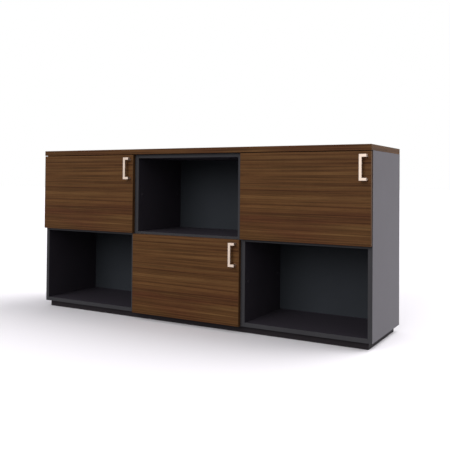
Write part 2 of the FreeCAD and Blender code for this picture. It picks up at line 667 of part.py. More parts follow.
def cup_screw_places(module):
    """Screws of the hinge cups, from the door's lower left corner."""
    across = "(sizes.cup_inset + sizes.cup_screw_offset)"
    return [(across, f"({height} {sign} sizes.cup_screw_spacing / 2)")
            for height in door_hinge_heights(module) for sign in "+-"]


def make_door(module):
    """A door panel with its bores for hinge cups, cup screws and the pull's screws."""
    body = new_door_body(module, f"{module}_door")
    block = pad_rectangle(body, "XZ_Plane", "0", ("0", "0"), (DOOR_WIDTH, door_height(module)),
                          "sizes.door_thickness", -1)
    round_edges(body, block, "sizes.door_round", lambda point: True)
    cut_circles(body, "XZ_Plane", "0", [("sizes.cup_inset", z) for z in door_hinge_heights(module)],
                "(sizes.cup_radius + sizes.counterbore_clearance)",
                "(sizes.cup_depth + sizes.hole_spare)", -1)
    cut_circles(body, "XZ_Plane", "0", cup_screw_places(module), WOOD_SCREW_HOLE,
                "(sizes.wood_screw_length + sizes.hole_spare)", -1)
    cut_circles(body, "XZ_Plane", "0", handle_screw_places(module), HANDLE_SCREW_HOLE,
                "sizes.door_thickness", -1)
    cut_circles(body, "XZ_Plane", "0", handle_screw_places(module),
                "(sizes.screw_head_radius + sizes.counterbore_clearance)",
                "(sizes.screw_head_height + sizes.counterbore_clearance)", -1)
    return body


def make_handle(module):
    """A C-shaped flat pull on two posts; the C opens to the right."""
    free_edge = f"({module_left(module)} + sizes.module_width - sizes.door_reveal)"
    x = f"{free_edge} - sizes.handle_side_inset - sizes.handle_width"
    high = DOOR_EDGES[DOOR_ROW[module]][1]
    z = f"sizes.plinth_height + {high} - sizes.handle_top_inset - sizes.handle_height"
    body = new_body(f"{module}_door_handle", x, DOOR_FRONT, z)
    sketch = new_sketch(body, "XZ_Plane", "-sizes.handle_projection")
    inner_top = "(sizes.handle_height - sizes.handle_bar)"
    draw_polygon(sketch, [
        ("0", "0"),
        ("sizes.handle_width", "0"),
        ("sizes.handle_width", "sizes.handle_bar"),
        ("sizes.handle_bar", "sizes.handle_bar"),
        ("sizes.handle_bar", inner_top),
        ("sizes.handle_width", inner_top),
        ("sizes.handle_width", "sizes.handle_height"),
        ("0", "sizes.handle_height"),
    ])
    add_pad(body, sketch, "sizes.handle_plate", 1)
    posts = new_sketch(body, "XZ_Plane", "0")
    for bottom in ("0", inner_top):
        draw_rectangle(posts, "(sizes.handle_width - sizes.handle_bar)", bottom,
                       "sizes.handle_bar", "sizes.handle_bar")
    solid = add_pad(body, posts, "(sizes.handle_projection - sizes.handle_plate)", -1)

    round_edges(body, solid, "sizes.handle_round", lies_at_depth(-number("sizes.handle_projection")))
    middle = "sizes.handle_bar / 2"
    centres = [(f"(sizes.handle_width - {middle})", f"({middle})"),
               (f"(sizes.handle_width - {middle})", f"(sizes.handle_height - {middle})")]
    cut_circles(body, "XZ_Plane", "0", centres, HANDLE_SCREW_HOLE,
                "(sizes.handle_screw_grip + sizes.handle_thread_spare)", -1)
    return body


def make_handle_screws(module):
    """Screws through the door into the pull, with their heads sunk in the door's back."""
    body = new_door_body(module, f"{module}_handle_screws")
    places = handle_screw_places(module)
    seat = "-(sizes.screw_head_height + sizes.counterbore_clearance)"
    pad_circles(body, "XZ_Plane", seat, places, "sizes.screw_head_radius", "sizes.screw_head_height", 1)
    length = ("(sizes.door_thickness - sizes.screw_head_height - sizes.counterbore_clearance"
              " + sizes.handle_screw_grip)")
    pad_circles(body, "XZ_Plane", seat, places, "sizes.handle_screw_radius", length, -1)
    return body


def make_bumpers(module):
    """Two soft discs on the door's back, against the side panel it closes on."""
    body = new_door_body(module, f"{module}_door_bumpers")
    across = f"({DOOR_WIDTH} - sizes.bumper_inset)"
    places = [(across, "sizes.bumper_inset"), (across, f"({door_height(module)} - sizes.bumper_inset)")]
    pad_circles(body, "XZ_Plane", "0", places, "sizes.bumper_radius",
                "(sizes.door_gap - sizes.bumper_clearance)", 1)
    return body


# ---------------------------------------------------------------- concealed hinges

def make_cups(module):
    """Hinge cups with their flanges, in the bores of the door."""
    body = new_door_body(module, f"{module}_hinge_cups")
    heights = door_hinge_heights(module)
    centres = [("sizes.cup_inset", z) for z in heights]
    pad_circles(body, "XZ_Plane", "sizes.cup_flange", centres, "sizes.cup_radius",
                "(sizes.cup_depth + sizes.cup_flange)", -1)
    flange = new_sketch(body, "XZ_Plane", "0")
    for z in heights:
        draw_rectangle(flange, "sizes.cup_inset", f"({z} - sizes.cup_flange_height / 2)",
                       "sizes.cup_flange_width", "sizes.cup_flange_height")
    add_pad(body, flange, "sizes.cup_flange", 1)
    cut_circles(body, "XZ_Plane", "sizes.cup_flange", centres, "(sizes.cup_radius - sizes.cup_wall)",
                "(sizes.cup_depth + sizes.cup_flange - sizes.cup_wall)", -1)
    cut_circles(body, "XZ_Plane", "sizes.cup_flange", cup_screw_places(module), WOOD_SCREW_HOLE,
                "sizes.cup_flange", -1)
    pin = ("(sizes.cup_inset - sizes.cup_pin_offset)", "-sizes.cup_pin_depth")
    for z in heights:
        cut_circles(body, "XY_Plane", z, [pin], "sizes.pin_radius", "(2 * sizes.cup_radius)", 0)
    return body


def make_cup_screws(module):
    """Screws of the cup flanges."""
    body = new_door_body(module, f"{module}_cup_screws")
    places = cup_screw_places(module)
    pad_circles(body, "XZ_Plane", "sizes.cup_flange", places, "sizes.screw_head_radius",
                "sizes.screw_head_height", 1)
    pad_circles(body, "XZ_Plane", "sizes.cup_flange", places, "sizes.wood_screw_radius",
                "sizes.wood_screw_length", -1)
    return body


def make_cup_pins(module):
    """Pins across the cups; each turns in the eye of a link."""
    body = new_door_body(module, f"{module}_cup_pins")
    pin = ("(sizes.cup_inset - sizes.cup_pin_offset)", "-sizes.cup_pin_depth")
    far_side = "(sizes.cup_pin_offset + sizes.pin_radius)"
    length = f"(2 * sqrt(sizes.cup_radius ^ 2 - {far_side} ^ 2))"
    for z in door_hinge_heights(module):
        pad_circles(body, "XY_Plane", z, [pin], "sizes.pin_radius", length, 0)
    return body


# Hinge points in plan, from the cabinet's left face and the front of the carcass.
ARM_PIN = ("(sizes.board_thickness + sizes.arm_pin_offset)", "sizes.arm_pin_setback")
CUP_PIN = ("(sizes.door_reveal + sizes.cup_inset - sizes.cup_pin_offset)",
           "(-sizes.door_gap - sizes.cup_pin_depth)")
CRANK = ("(sizes.door_reveal + sizes.cup_inset - sizes.crank_offset)",
         "(-sizes.door_gap - sizes.crank_depth)")


def new_hinge_body(module, label):
    """A body whose origin is the lower front left corner of the cabinet."""
    return new_body(label, module_left(module), CARCASS_FRONT, "sizes.plinth_height")


def strut_corners(start, end):
    """Corners of a straight bar between two points."""
    run = f"({end[0]} - {start[0]})"
    rise = f"({end[1]} - {start[1]})"
    length = f"sqrt({run} ^ 2 + {rise} ^ 2)"
    across = f"(sizes.link_half_width * {rise} / {length})"
    along = f"(sizes.link_half_width * {run} / {length})"
    return [(f"({start[0]} - {across})", f"({start[1]} + {along})"),
            (f"({start[0]} + {across})", f"({start[1]} - {along})"),
            (f"({end[0]} + {across})", f"({end[1]} - {along})"),
            (f"({end[0]} - {across})", f"({end[1]} + {along})")]


def make_links(module):
    """The cranked links, one for each hinge of a door, from the arm's pin to the cup's pin."""
    body = new_hinge_body(module, f"{module}_hinge_links")
    height = "(2 * sizes.link_half_height)"
    for z in hinge_heights(module):
        for centre, radius in ((ARM_PIN, "sizes.eye_radius"), (CRANK, "sizes.link_half_width"),
                               (CUP_PIN, "sizes.eye_radius")):
            pad_circles(body, "XY_Plane", z, [centre], radius, height, 0)
        for start, end in ((ARM_PIN, CRANK), (CRANK, CUP_PIN)):
            sketch = new_sketch(body, "XY_Plane", z)
            draw_polygon(sketch, strut_corners(start, end))
            add_pad(body, sketch, height, 0)
        for centre in (ARM_PIN, CUP_PIN):
            cut_circles(body, "XY_Plane", z, [centre], "(sizes.pin_radius + sizes.pin_clearance)",
                        f"({height} + sizes.hole_spare)", 0)
    return body


def carcass_hinges():
    """The place of each hinge, as the X of its cabinet and its height above the carcass bottom."""
    return [(module_left(module), z) for module in MODULES for z in hinge_heights(module)]


def make_mounting_plates():
    """Plates on the side panels that carry the arms."""
    body = new_body("hinge_mounting_plates", "0", CARCASS_FRONT, "sizes.plinth_height")
    for left, z in carcass_hinges():
        face = f"({left} + sizes.board_thickness)"
        pad_rectangle(body, "YZ_Plane", face,
                      ("(sizes.plate_line - sizes.plate_depth / 2)", f"({z} - sizes.plate_height / 2)"),
                      ("sizes.plate_depth", "sizes.plate_height"), "sizes.plate_thickness", 1)
        places = [("sizes.plate_line", f"({z} {sign} sizes.plate_screw_spacing / 2)") for sign in "+-"]
        cut_circles(body, "YZ_Plane", face, places, WOOD_SCREW_HOLE, "sizes.plate_thickness", 1)
    return body


def make_plate_screws():
    """Screws of the mounting plates."""
    body = new_body("hinge_plate_screws", "0", CARCASS_FRONT, "sizes.plinth_height")
    for left, z in carcass_hinges():
        seat = f"({left} + sizes.board_thickness + sizes.plate_thickness)"
        places = [("sizes.plate_line", f"({z} {sign} sizes.plate_screw_spacing / 2)") for sign in "+-"]
        pad_circles(body, "YZ_Plane", seat, places, "sizes.screw_head_radius",
                    "sizes.screw_head_height", 1)
        pad_circles(body, "YZ_Plane", seat, places, "sizes.wood_screw_radius",
                    "sizes.wood_screw_length", -1)
    return body


def make_arms():
    """Hinge arms, clipped on their plates, with a forked nose that holds the arm pin."""
    body = new_body("hinge_arms", "0", CARCASS_FRONT, "sizes.plinth_height")
    height = f"(2 * {CHEEK_OUTSIDE})"
    pin_depth = ARM_PIN[1]
    for left, z in carcass_hinges():
        seat = f"({left} + sizes.board_thickness + sizes.plate_thickness)"
        face = f"({left} + sizes.board_thickness)"
        pin_x = f"({left} + {ARM_PIN[0]})"
        near = f"({pin_x} - sizes.arm_eye_radius)"
        far = f"({pin_x} + sizes.arm_eye_radius)"
        outline = new_sketch(body, "XY_Plane", z)
        draw_polygon(outline, [
            (near, pin_depth),
            (far, pin_depth),
            (far, "sizes.arm_shoulder"),
            (f"({face} + sizes.arm_back_height)", "sizes.arm_back"),
            (seat, "sizes.arm_back"),
            (seat, "(sizes.plate_line - sizes.plate_depth / 2)"),
            (near, "sizes.arm_shoulder"),
        ])
        add_pad(body, outline, height, 0)
        pad_circles(body, "XY_Plane", z, [(pin_x, pin_depth)], "sizes.arm_eye_radius", height, 0)
        slot_end = f"({pin_depth} + sizes.eye_radius + sizes.arm_slot_spare)"
        slot_start = f"({pin_depth} - sizes.arm_eye_radius - sizes.arm_slot_spare)"
        cut_rectangle(body, "XY_Plane", z, (near, slot_start),
                      ("(2 * sizes.arm_eye_radius)", f"({slot_end} - {slot_start})"),
                      f"(2 * {CHEEK_INSIDE})", 0)
        cut_circles(body, "XY_Plane", z, [(pin_x, pin_depth)], "sizes.pin_radius", f"(2 * {height})", 0)
    return body


def make_arm_pins():
    """Pins held by the noses of the arms; each turns in the eye of a link."""
    body = new_body("hinge_arm_pins", "0", CARCASS_FRONT, "sizes.plinth_height")
    for left, z in carcass_hinges():
        pin_x = f"({left} + {ARM_PIN[0]})"
        pad_circles(body, "XY_Plane", z, [(pin_x, ARM_PIN[1])], "sizes.pin_radius",
                    f"(2 * {CHEEK_OUTSIDE})", 0)
    return body


# ---------------------------------------------------------------- the whole object

def make_all():
    """Every sub-part, each in a body of its own."""
    parts = [make_worktop()]
    parts += make_plinth()
    for module in MODULES:
        parts += [make_side(module, "left"), make_side(module, "right")]
        parts += [make_board(module, level) for level in LEVELS]
        parts.append(make_back_panel(module))
    parts += [make_dowels(), make_cam_bolts(), make_cam_locks()]
    parts += make_joining_screws()
    parts.append(make_worktop_screws())
    parts += make_plinth_brackets()
    parts += [make_mounting_plates(), make_plate_screws(), make_arms(), make_arm_pins()]
    for module in MODULES:
        parts += [make_door(module), make_handle(module), make_handle_screws(module)]
        parts += [make_bumpers(module), make_cups(module), make_cup_screws(module)]
        parts += [make_cup_pins(module), make_links(module)]
    return parts


def check_features():
    """Stops if an object failed, or if a pad or a pocket changed nothing."""
    for item in doc.Objects:
        if "Invalid" in item.State or "Error" in item.State:
            raise RuntimeError(f"{item.Label} did not recompute: {item.State}")
        before = getattr(item, "BaseFeature", None)
        if before is None or item.isDerivedFrom("PartDesign::Body"):
            continue
        change = item.Shape.Volume - before.Shape.Volume
        if item.isDerivedFrom("PartDesign::Pocket") and change >= 0:
            raise RuntimeError(f"{item.Label} cuts nothing")
        if item.isDerivedFrom("PartDesign::Pad") and change <= 0:
            raise RuntimeError(f"{item.Label} adds nothing")


def write_parts(parts):
    """Writes one STEP file for each sub-part."""
    os.makedirs("parts", exist_ok=True)
    for part in parts:
        if part.Shape.isNull() or not part.Shape.isValid():
            raise RuntimeError(f"{part.Label} has no valid shape")
        part.Shape.exportStep(f"parts/{part.Label}.step")
        print(f"{part.Label}: {len(part.Shape.Solids)} solid(s)")


all_parts = make_all()
doc.recompute()
check_features()
write_parts(all_parts)
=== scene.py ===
"""Finishes an office credenza: decors, edge bands, pulls, hinges and fasteners, on a pale floor."""

import math

import bmesh
import bpy
from mathutils import Matrix, Vector


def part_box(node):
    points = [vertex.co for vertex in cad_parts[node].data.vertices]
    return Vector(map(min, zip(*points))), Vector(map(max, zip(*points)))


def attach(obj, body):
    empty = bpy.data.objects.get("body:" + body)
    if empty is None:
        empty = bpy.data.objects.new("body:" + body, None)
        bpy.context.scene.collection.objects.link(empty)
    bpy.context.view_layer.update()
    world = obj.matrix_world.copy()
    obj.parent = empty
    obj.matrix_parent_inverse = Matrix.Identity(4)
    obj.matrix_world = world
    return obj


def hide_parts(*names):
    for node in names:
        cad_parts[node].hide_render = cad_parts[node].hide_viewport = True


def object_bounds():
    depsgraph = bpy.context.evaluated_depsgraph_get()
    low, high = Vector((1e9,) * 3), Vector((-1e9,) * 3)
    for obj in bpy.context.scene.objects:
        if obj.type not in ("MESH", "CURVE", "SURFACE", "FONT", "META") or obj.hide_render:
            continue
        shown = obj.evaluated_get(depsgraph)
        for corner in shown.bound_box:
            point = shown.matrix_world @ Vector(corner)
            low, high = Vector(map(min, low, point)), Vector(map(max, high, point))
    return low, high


bl_info = {
    "name": "Office Credenza",
    "version": (1, 0, 0),
    "blender": (4, 5, 0),
    "location": "View3D > Sidebar > Credenza",
    "description": "Decors, edge bands, pulls and fittings of an office credenza",
    "category": "Object",
}

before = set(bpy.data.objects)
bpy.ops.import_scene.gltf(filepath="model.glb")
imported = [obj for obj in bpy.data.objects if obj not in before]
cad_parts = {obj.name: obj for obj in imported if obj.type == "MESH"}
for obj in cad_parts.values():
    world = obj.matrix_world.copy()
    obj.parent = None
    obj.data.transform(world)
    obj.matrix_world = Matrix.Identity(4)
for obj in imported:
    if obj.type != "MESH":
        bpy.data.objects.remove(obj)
CAD_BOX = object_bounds()

MODULES = ("left", "centre", "right")
BOARDS = ("left_side", "right_side", "bottom_board", "shelf", "top_board", "back_panel")
MM = 0.001
SAME_POINT = 0.001 * MM  # points nearer than this are one
SAME_PLANE = 0.01 * MM   # points nearer than this to a plane lie in it
SQUARE = 0.9999          # a face is square to an axis if its normal has more than this along it
CARCASS_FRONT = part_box("left_cabinet_left_side")[0].y

# Materials of a walnut board by number: edge band, decor, glue line, and the core that bores lay open.
WALNUT_BOARD = ("walnut_melamine", "walnut_melamine", "black_melamine", "chipboard_core")
DECOR, GLUE_LINE, CORE = 1, 2, 3


def in_mm(*values):
    """Millimetres as metres."""
    return tuple(value * MM for value in values)


def linear(code):
    """Linear colour from an sRGB hex code."""
    channels = []
    for place in (1, 3, 5):
        share = int(code[place:place + 2], 16) / 255
        channels.append(share / 12.92 if share <= 0.04045 else ((share + 0.055) / 1.055) ** 2.4)
    return (*channels, 1.0)


def colour(name, description, code):
    """A colour that a user can change."""
    return bpy.props.FloatVectorProperty(
        name=name, description=description, subtype="COLOR", size=4, min=0.0, max=1.0,
        default=linear(code))


def length(name, description, millimetres):
    """A length that a user can change."""
    return bpy.props.FloatProperty(
        name=name, description=description, subtype="DISTANCE", unit="LENGTH", min=0.0, precision=5,
        default=millimetres * MM)


def level(name, description, value):
    """A plain number that a user can change."""
    return bpy.props.FloatProperty(name=name, description=description, min=0.0, default=value)


class CredenzaDecors(bpy.types.PropertyGroup):
    """Colours of the boards, metals and small parts."""

    walnut: colour("Walnut", "Middle tone of the printed walnut", "#604126")
    walnut_dark: colour("Walnut late wood", "Dark lines of the printed walnut", "#402514")
    walnut_light: colour("Walnut early wood", "Pale lines of the printed walnut", "#755534")
    walnut_red: colour("Walnut heartwood", "Reddish drift of the printed walnut", "#593322")
    graphite: colour("Graphite", "Melamine of the cabinets", "#38343B")
    graphite_back: colour("Graphite back", "Melamine of the thin back panels", "#34373C")
    graphite_band: colour("Graphite band", "Edge band of the cabinets", "#414043")
    # The end panels' outer faces are a paler grey than the graphite: partly their own decor, partly
    # painted light for the light that falls on that side from the right.
    end_painted_light_grey: colour("End grey", "Outer faces of the two end panels", "#79767C")
    plinth: colour("Plinth black", "Melamine of the plinth", "#2B272A")
    champagne: colour("Champagne", "Lacquered pulls", "#C1B1A3")
    nickel: colour("Nickel", "Plated hinges", "#B9B5AD")
    zinc: colour("Zinc", "Plated screws and brackets", "#B7B9BA")
    zamak: colour("Zamak", "Die-cast cams", "#8F9092")
    black_oxide: colour("Black oxide", "Joining and worktop screws", "#1B1B1D")
    beech: colour("Beech", "Dowels", "#C79F72")
    beech_fleck: colour("Beech fleck", "Rays in the beech", "#9F7D59")
    chipboard: colour("Chipboard", "Chips in the core of the boards, seen in bores", "#A98C66")
    chipboard_glue: colour("Chipboard glue", "Glued ground between the chips", "#826B4D")
    glue: colour("Glue line", "Joint beside an edge band", "#1C1B1D")
    clear: colour("Clear", "Door bumpers", "#E8EAEA")


class CredenzaTrims(bpy.types.PropertyGroup):
    """Sizes of the edge bands and of the small roundings."""

    band: length("Edge band", "Thickness of the plastic edge band", 2)
    carcass_band: length("Carcass band", "Thickness of the band on the cabinets' front edges", 1)
    seam: length("Seam", "Width of the glue line beside an edge band", 0.3)
    seam_depth: length("Seam depth", "Depth of the glue line", 0.15)
    door_round: length("Door edge radius", "Rounding of the doors' edges", 1)
    worktop_round: length("Worktop edge radius", "Rounding of the worktop's edges", 1.2)


class CredenzaFittings(bpy.types.PropertyGroup):
    """Sizes of the pulls, hinges and screws."""

    bar: length("Pull bar", "Width of the grip and of the legs", 12)
    plate: length("Pull thickness", "Thickness of the grip and of the legs", 8)
    pull_round: length("Pull edge radius", "Rounding of the pulls' edges", 1.2)
    cup_radius: length("Cup radius", "Outer radius of a hinge cup", 17.5)
    cup_depth: length("Cup depth", "From the face of a cup's flange to its floor", 13.3)
    cup_wall: length("Cup wall", "Wall and floor of a hinge cup", 1)
    cup_bore: length("Cup bore", "Radius of the bore for a hinge cup", 17.8)
    cup_bore_depth: length("Cup bore depth", "Depth of the bore for a hinge cup", 13)
    pilot_depth: length("Pilot depth", "Depth of the holes for a cup's screws", 13.5)
    sink: length("Counterbore", "Radius of the counterbore for a pull's screw", 4.1)
    sink_depth: length("Counterbore depth", "Depth of the counterbore for a pull's screw", 2.3)
    flange: length("Flange", "Thickness of a cup's flange", 0.8)
    screw_hole: length("Screw hole", "Radius of the hole round a screw", 2.05)
    thread_pitch: length("Thread pitch", "From one turn of a screw thread to the next", 1.6)


class CredenzaStudio(bpy.types.PropertyGroup):
    """The floor and the light round the object."""

    floor: colour("Floor", "Paper of the studio floor", "#FDFAFF")
    backdrop: colour("Backdrop", "Wall and ceiling far behind the object", "#FFFFFF")
    floor_gain: level("Floor gain", "How much paler the floor looks than it is lit", 0.95)
    bounce: colour("Bounce", "Grey of the floor in the light that it throws back", "#5E5E60")
    sky: level("Sky level", "Even light from all round", 0.58)
    front_lamp: level("Front lamp", "Level of the lamp in front", 0.43)
    side_lamp: level("Side lamp", "Level of the lamp on the right", 0.68)


# ---------------------------------------------------------------- materials

def add_node(tree, kind, inputs=None, stops=None, **settings):
    """Adds a node; each input is a plain value, or the node or the socket to link from."""
    node = tree.nodes.new(f"ShaderNode{kind}")
    for name, value in settings.items():
        setattr(node, name, value)
    for key, value in (inputs or {}).items():
        if isinstance(value, bpy.types.Node):
            value = next(socket for socket in value.outputs if socket.enabled)
        if isinstance(value, bpy.types.NodeSocket):
            tree.links.new(value, node.inputs[key])
        else:
            node.inputs[key].default_value = value
    if stops:
        elements = node.color_ramp.elements
        while len(elements) < len(stops):
            elements.new(1.0)
        for element, (position, tint) in zip(elements, stops):
            element.position = position
            element.color = tint
    return node


def new_material(name):
    """The empty node tree of a new material."""
    material = bpy.data.materials.new(name)
    material.use_nodes = True
    material.node_tree.nodes.clear()
    return material.node_tree


def grey(shade):
    """A plain grey for a ramp that carries a number."""
    return (shade, shade, shade, 1.0)


# Noises of the printed walnut: cells per metre along and across the grain, detail and roughness.
WALNUT_NOISES = {
    "lines": (0.45, 62.0, 4.0, 0.6),    # growth lines 16 mm apart and finer, over a metre long
    "threads": (2.0, 210.0, 2.0, 0.5),  # fine dark threads 5 mm apart, about 500 mm long
    "patches": (8.0, 28.0, 2.0, 0.5),   # pale and dark patches, about 120 mm long
    "drift": (2.5, 11.0, 2.0, 0.5),     # heartwood in broad bands, about 90 mm apart
    "fade": (2.6, 30.0, 2.0, 0.5),      # where the strong streaks come and go
    "pores": (40.0, 650.0, 2.0, 0.5),   # real pores are 0.4 mm wide, drawn 1.5 mm so that they show
}
# Strong streaks of the printed walnut: middle from the lower edge of a door and half width, in
# millimetres, and the shade at the middle, where 0.5 leaves the tone as it is. They lie in one
# repeat of the print.
PRINT_HEIGHT = 400.0
PRINTED_STREAKS = ((8, 7, 0.36), (61, 6, 0.36), (88, 12, 0.51), (110, 9, 0.36), (150, 14, 0.60),
                   (193, 5, 0.62), (206, 4, 0.33), (249, 5, 0.33), (274, 12, 0.58), (362, 12, 0.43))
# Between the streaks the print has the lower shade up to this height, and the upper one above it.
LOWER_ZONE, LOWER_SHADE, UPPER_SHADE = 124.0, 0.475, 0.525


def walnut_melamine(name, decors):
    """Walnut melamine: paper printed with straight-grained walnut, pressed with resin. It gives the
    eye level lines of varied width, a satin face and pores that are only faintly embossed."""
    tree = new_material(name)
    grain = add_node(tree, "UVMap", uv_map="grain")
    # The lines wander by some 3 mm over the length of a door.
    wander = add_node(tree, "Mapping", {"Vector": grain, "Scale": (1.3, 3.0, 1.0)})
    wander = add_node(tree, "TexNoise", {"Vector": wander, "Scale": 1.0, "Detail": 1.0})
    drop = add_node(tree, "Math", {0: wander, 1: 12 * MM, 2: -6 * MM}, operation="MULTIPLY_ADD")
    drop = add_node(tree, "CombineXYZ", {"Y": drop})
    bent = add_node(tree, "VectorMath", {0: grain, 1: drop}, operation="ADD")
    noises = {}
    for part, (along, across, detail, roughness) in WALNUT_NOISES.items():
        place = add_node(tree, "Mapping", {"Vector": bent, "Scale": (along, across, 1.0)})
        noises[part] = add_node(tree, "TexNoise", {
            "Vector": place, "Scale": 1.0, "Detail": detail, "Roughness": roughness})
    tone = add_node(tree, "ValToRGB", {"Fac": noises["lines"]}, stops=[
        (0.32, decors.walnut_dark), (0.47, decors.walnut), (0.53, decors.walnut),
        (0.70, decors.walnut_light)])
    threads = add_node(tree, "MapRange", {
        "Value": noises["threads"], "From Min": 0.44, "From Max": 0.64, "To Min": 1.10,
        "To Max": 0.64})
    patches = add_node(tree, "MapRange", {
        "Value": noises["patches"], "From Min": 0.3, "From Max": 0.7, "To Min": 0.93, "To Max": 1.07})
    figure = add_node(tree, "Math", {0: threads, 1: patches}, operation="MULTIPLY")
    # How high a point lies in the print, from 0 to 1, over and over.
    height = add_node(tree, "SeparateXYZ", {"Vector": bent}).outputs["Y"]
    height = add_node(tree, "Math", {0: height, 1: 1000 / PRINT_HEIGHT}, operation="MULTIPLY")
    height = add_node(tree, "Math", {0: height}, operation="FRACT")
    # Reddish heartwood, mostly in the lower part of the print.
    heart = add_node(tree, "MapRange", {"Value": noises["drift"], "From Min": 0.40, "From Max": 0.64})
    low = add_node(tree, "MapRange", {
        "Value": height, "From Min": 0.25, "From Max": 0.45, "To Min": 0.6, "To Max": 0.15})
    heart = add_node(tree, "Math", {0: heart, 1: low}, operation="MULTIPLY")
    tone = add_node(tree, "Mix", {"Factor": heart, "A": tone, "B": decors.walnut_red},
                    data_type="RGBA")
    stops = [(0.0, grey(LOWER_SHADE))]
    for middle, half, shade in PRINTED_STREAKS:
        ground = grey(LOWER_SHADE if middle < LOWER_ZONE else UPPER_SHADE)
        stops += [((middle - half) / PRINT_HEIGHT, ground), (middle / PRINT_HEIGHT, grey(shade)),
                  ((middle + half) / PRINT_HEIGHT, ground)]
    streaks = add_node(tree, "ValToRGB", {"Fac": height}, stops=stops)
    fade = add_node(tree, "MapRange", {
        "Value": noises["fade"], "From Min": 0.35, "From Max": 0.55, "To Min": 0.45, "To Max": 1.0})
    shade = add_node(tree, "Mix", {"Factor": fade, "A": grey(0.5), "B": streaks}, data_type="RGBA")
    pits = add_node(tree, "MapRange", {"Value": noises["pores"], "From Min": 0.55, "From Max": 0.72})
    # Twice a shade of 0.5 leaves the tone as it is, and in a pore it darkens.
    dark = add_node(tree, "MapRange", {"Value": pits, "To Min": 2.0, "To Max": 1.5})
    shade = add_node(tree, "VectorMath", {0: shade, "Scale": dark}, operation="SCALE")
    tone = add_node(tree, "VectorMath", {0: tone, 1: shade}, operation="MULTIPLY")
    tone = add_node(tree, "VectorMath", {0: tone, "Scale": figure}, operation="SCALE")
    rough = add_node(tree, "MapRange", {"Value": noises["lines"], "To Min": 0.40, "To Max": 0.52})
    bump = add_node(tree, "Bump", {"Height": pits, "Strength": 0.25, "Distance": 0.05 * MM},
                    invert=True)
    shader = add_node(tree, "BsdfPrincipled", {
        "Base Color": tone, "Roughness": rough, "IOR": 1.5, "Specular IOR Level": 0.05,
        "Normal": bump})
    add_node(tree, "OutputMaterial", {"Surface": shader})


def pearl_melamine(name, decors, tint, trims=None, outer=None):
    """Plain melamine: decor paper pressed with resin on a fine pearl plate. It gives the eye an even
    dull colour with a faint grain that scatters the light. A board with trims carries an edge band on
    its front, beside a dark glue line, and an end panel a paler grey on its outer face, which is
    partly its own decor and partly painted light from the right."""
    tree = new_material(name)
    place = add_node(tree, "TexCoord").outputs["Object"]
    axes = add_node(tree, "SeparateXYZ", {"Vector": place})
    # The plate's pearls are 0.3 mm across, drawn 2 mm so that they show; the clouds are 170 mm.
    pearls = add_node(tree, "TexNoise", {"Vector": place, "Scale": 500.0, "Detail": 2.0})
    clouds = add_node(tree, "TexNoise", {"Vector": place, "Scale": 6.0, "Detail": 3.0})
    zones = []
    # Painted light: the outer face of an end panel gets the paler grey, which stands partly for the
    # light that falls on that side.
    if outer:
        end, skin = abs(CAD_BOX[0].x), 0.3 * MM
        across = add_node(tree, "Math", {0: axes.outputs["X"]}, operation="ABSOLUTE")
        outside = add_node(tree, "Math", {0: across, 1: end - skin}, operation="GREATER_THAN")
        zones.append((outside, outer))
    if trims is not None:
        seam, depth = CARCASS_FRONT + trims.carcass_band, axes.outputs["Y"]
        ahead = add_node(tree, "Math", {0: depth, 1: seam}, operation="LESS_THAN")
        glue = add_node(tree, "Math", {0: depth, 1: seam, 2: trims.seam / 2}, operation="COMPARE")
        zones += [(ahead, decors.graphite_band), (glue, decors.glue)]
    tone = tint
    for inside, zone_tint in zones:
        tone = add_node(tree, "Mix", {"Factor": inside, "A": tone, "B": zone_tint}, data_type="RGBA")
    cloud = add_node(tree, "MapRange", {
        "Value": clouds, "From Min": 0.3, "From Max": 0.7, "To Min": 0.95, "To Max": 1.05})
    speck = add_node(tree, "MapRange", {
        "Value": pearls, "From Min": 0.3, "From Max": 0.7, "To Min": 0.94, "To Max": 1.06})
    shade = add_node(tree, "Math", {0: cloud, 1: speck}, operation="MULTIPLY")
    base = add_node(tree, "VectorMath", {0: tone if zones else tint[:3], "Scale": shade},
                    operation="SCALE")
    rough = add_node(tree, "MapRange", {"Value": clouds, "To Min": 0.42, "To Max": 0.56})
    bump = add_node(tree, "Bump", {"Height": pearls, "Strength": 0.3, "Distance": 0.04 * MM})
    shader = add_node(tree, "BsdfPrincipled", {
        "Base Color": base, "Roughness": rough, "IOR": 1.5, "Specular IOR Level": 0.05,
        "Normal": bump})
    add_node(tree, "OutputMaterial", {"Surface": shader})


def metal(name, tint, roughness, grain, strength):
    """A metal whose fine surface, of grains of the given size, softens the reflection."""
    tree = new_material(name)
    place = add_node(tree, "TexCoord").outputs["Object"]
    # The haze of plating and handling comes and goes over 25 mm.
    haze = add_node(tree, "TexNoise", {"Vector": place, "Scale": 40.0, "Detail": 3.0})
    grit = add_node(tree, "TexNoise", {"Vector": place, "Scale": 1 / grain, "Detail": 2.0})
    rough = add_node(tree, "MapRange", {
        "Value": haze, "From Min": 0.3, "From Max": 0.7, "To Min": roughness - 0.05,
        "To Max": roughness + 0.07})
    worn = add_node(tree, "MapRange", {
        "Value": haze, "From Min": 0.3, "From Max": 0.7, "To Min": 0.93, "To Max": 1.04})
    base = add_node(tree, "VectorMath", {0: tint[:3], "Scale": worn}, operation="SCALE")
    bump = add_node(tree, "Bump", {"Height": grit, "Strength": strength, "Distance": 0.03 * MM})
    shader = add_node(tree, "BsdfPrincipled", {
        "Base Color": base, "Metallic": 1.0, "Roughness": rough, "Normal": bump})
    add_node(tree, "OutputMaterial", {"Surface": shader})


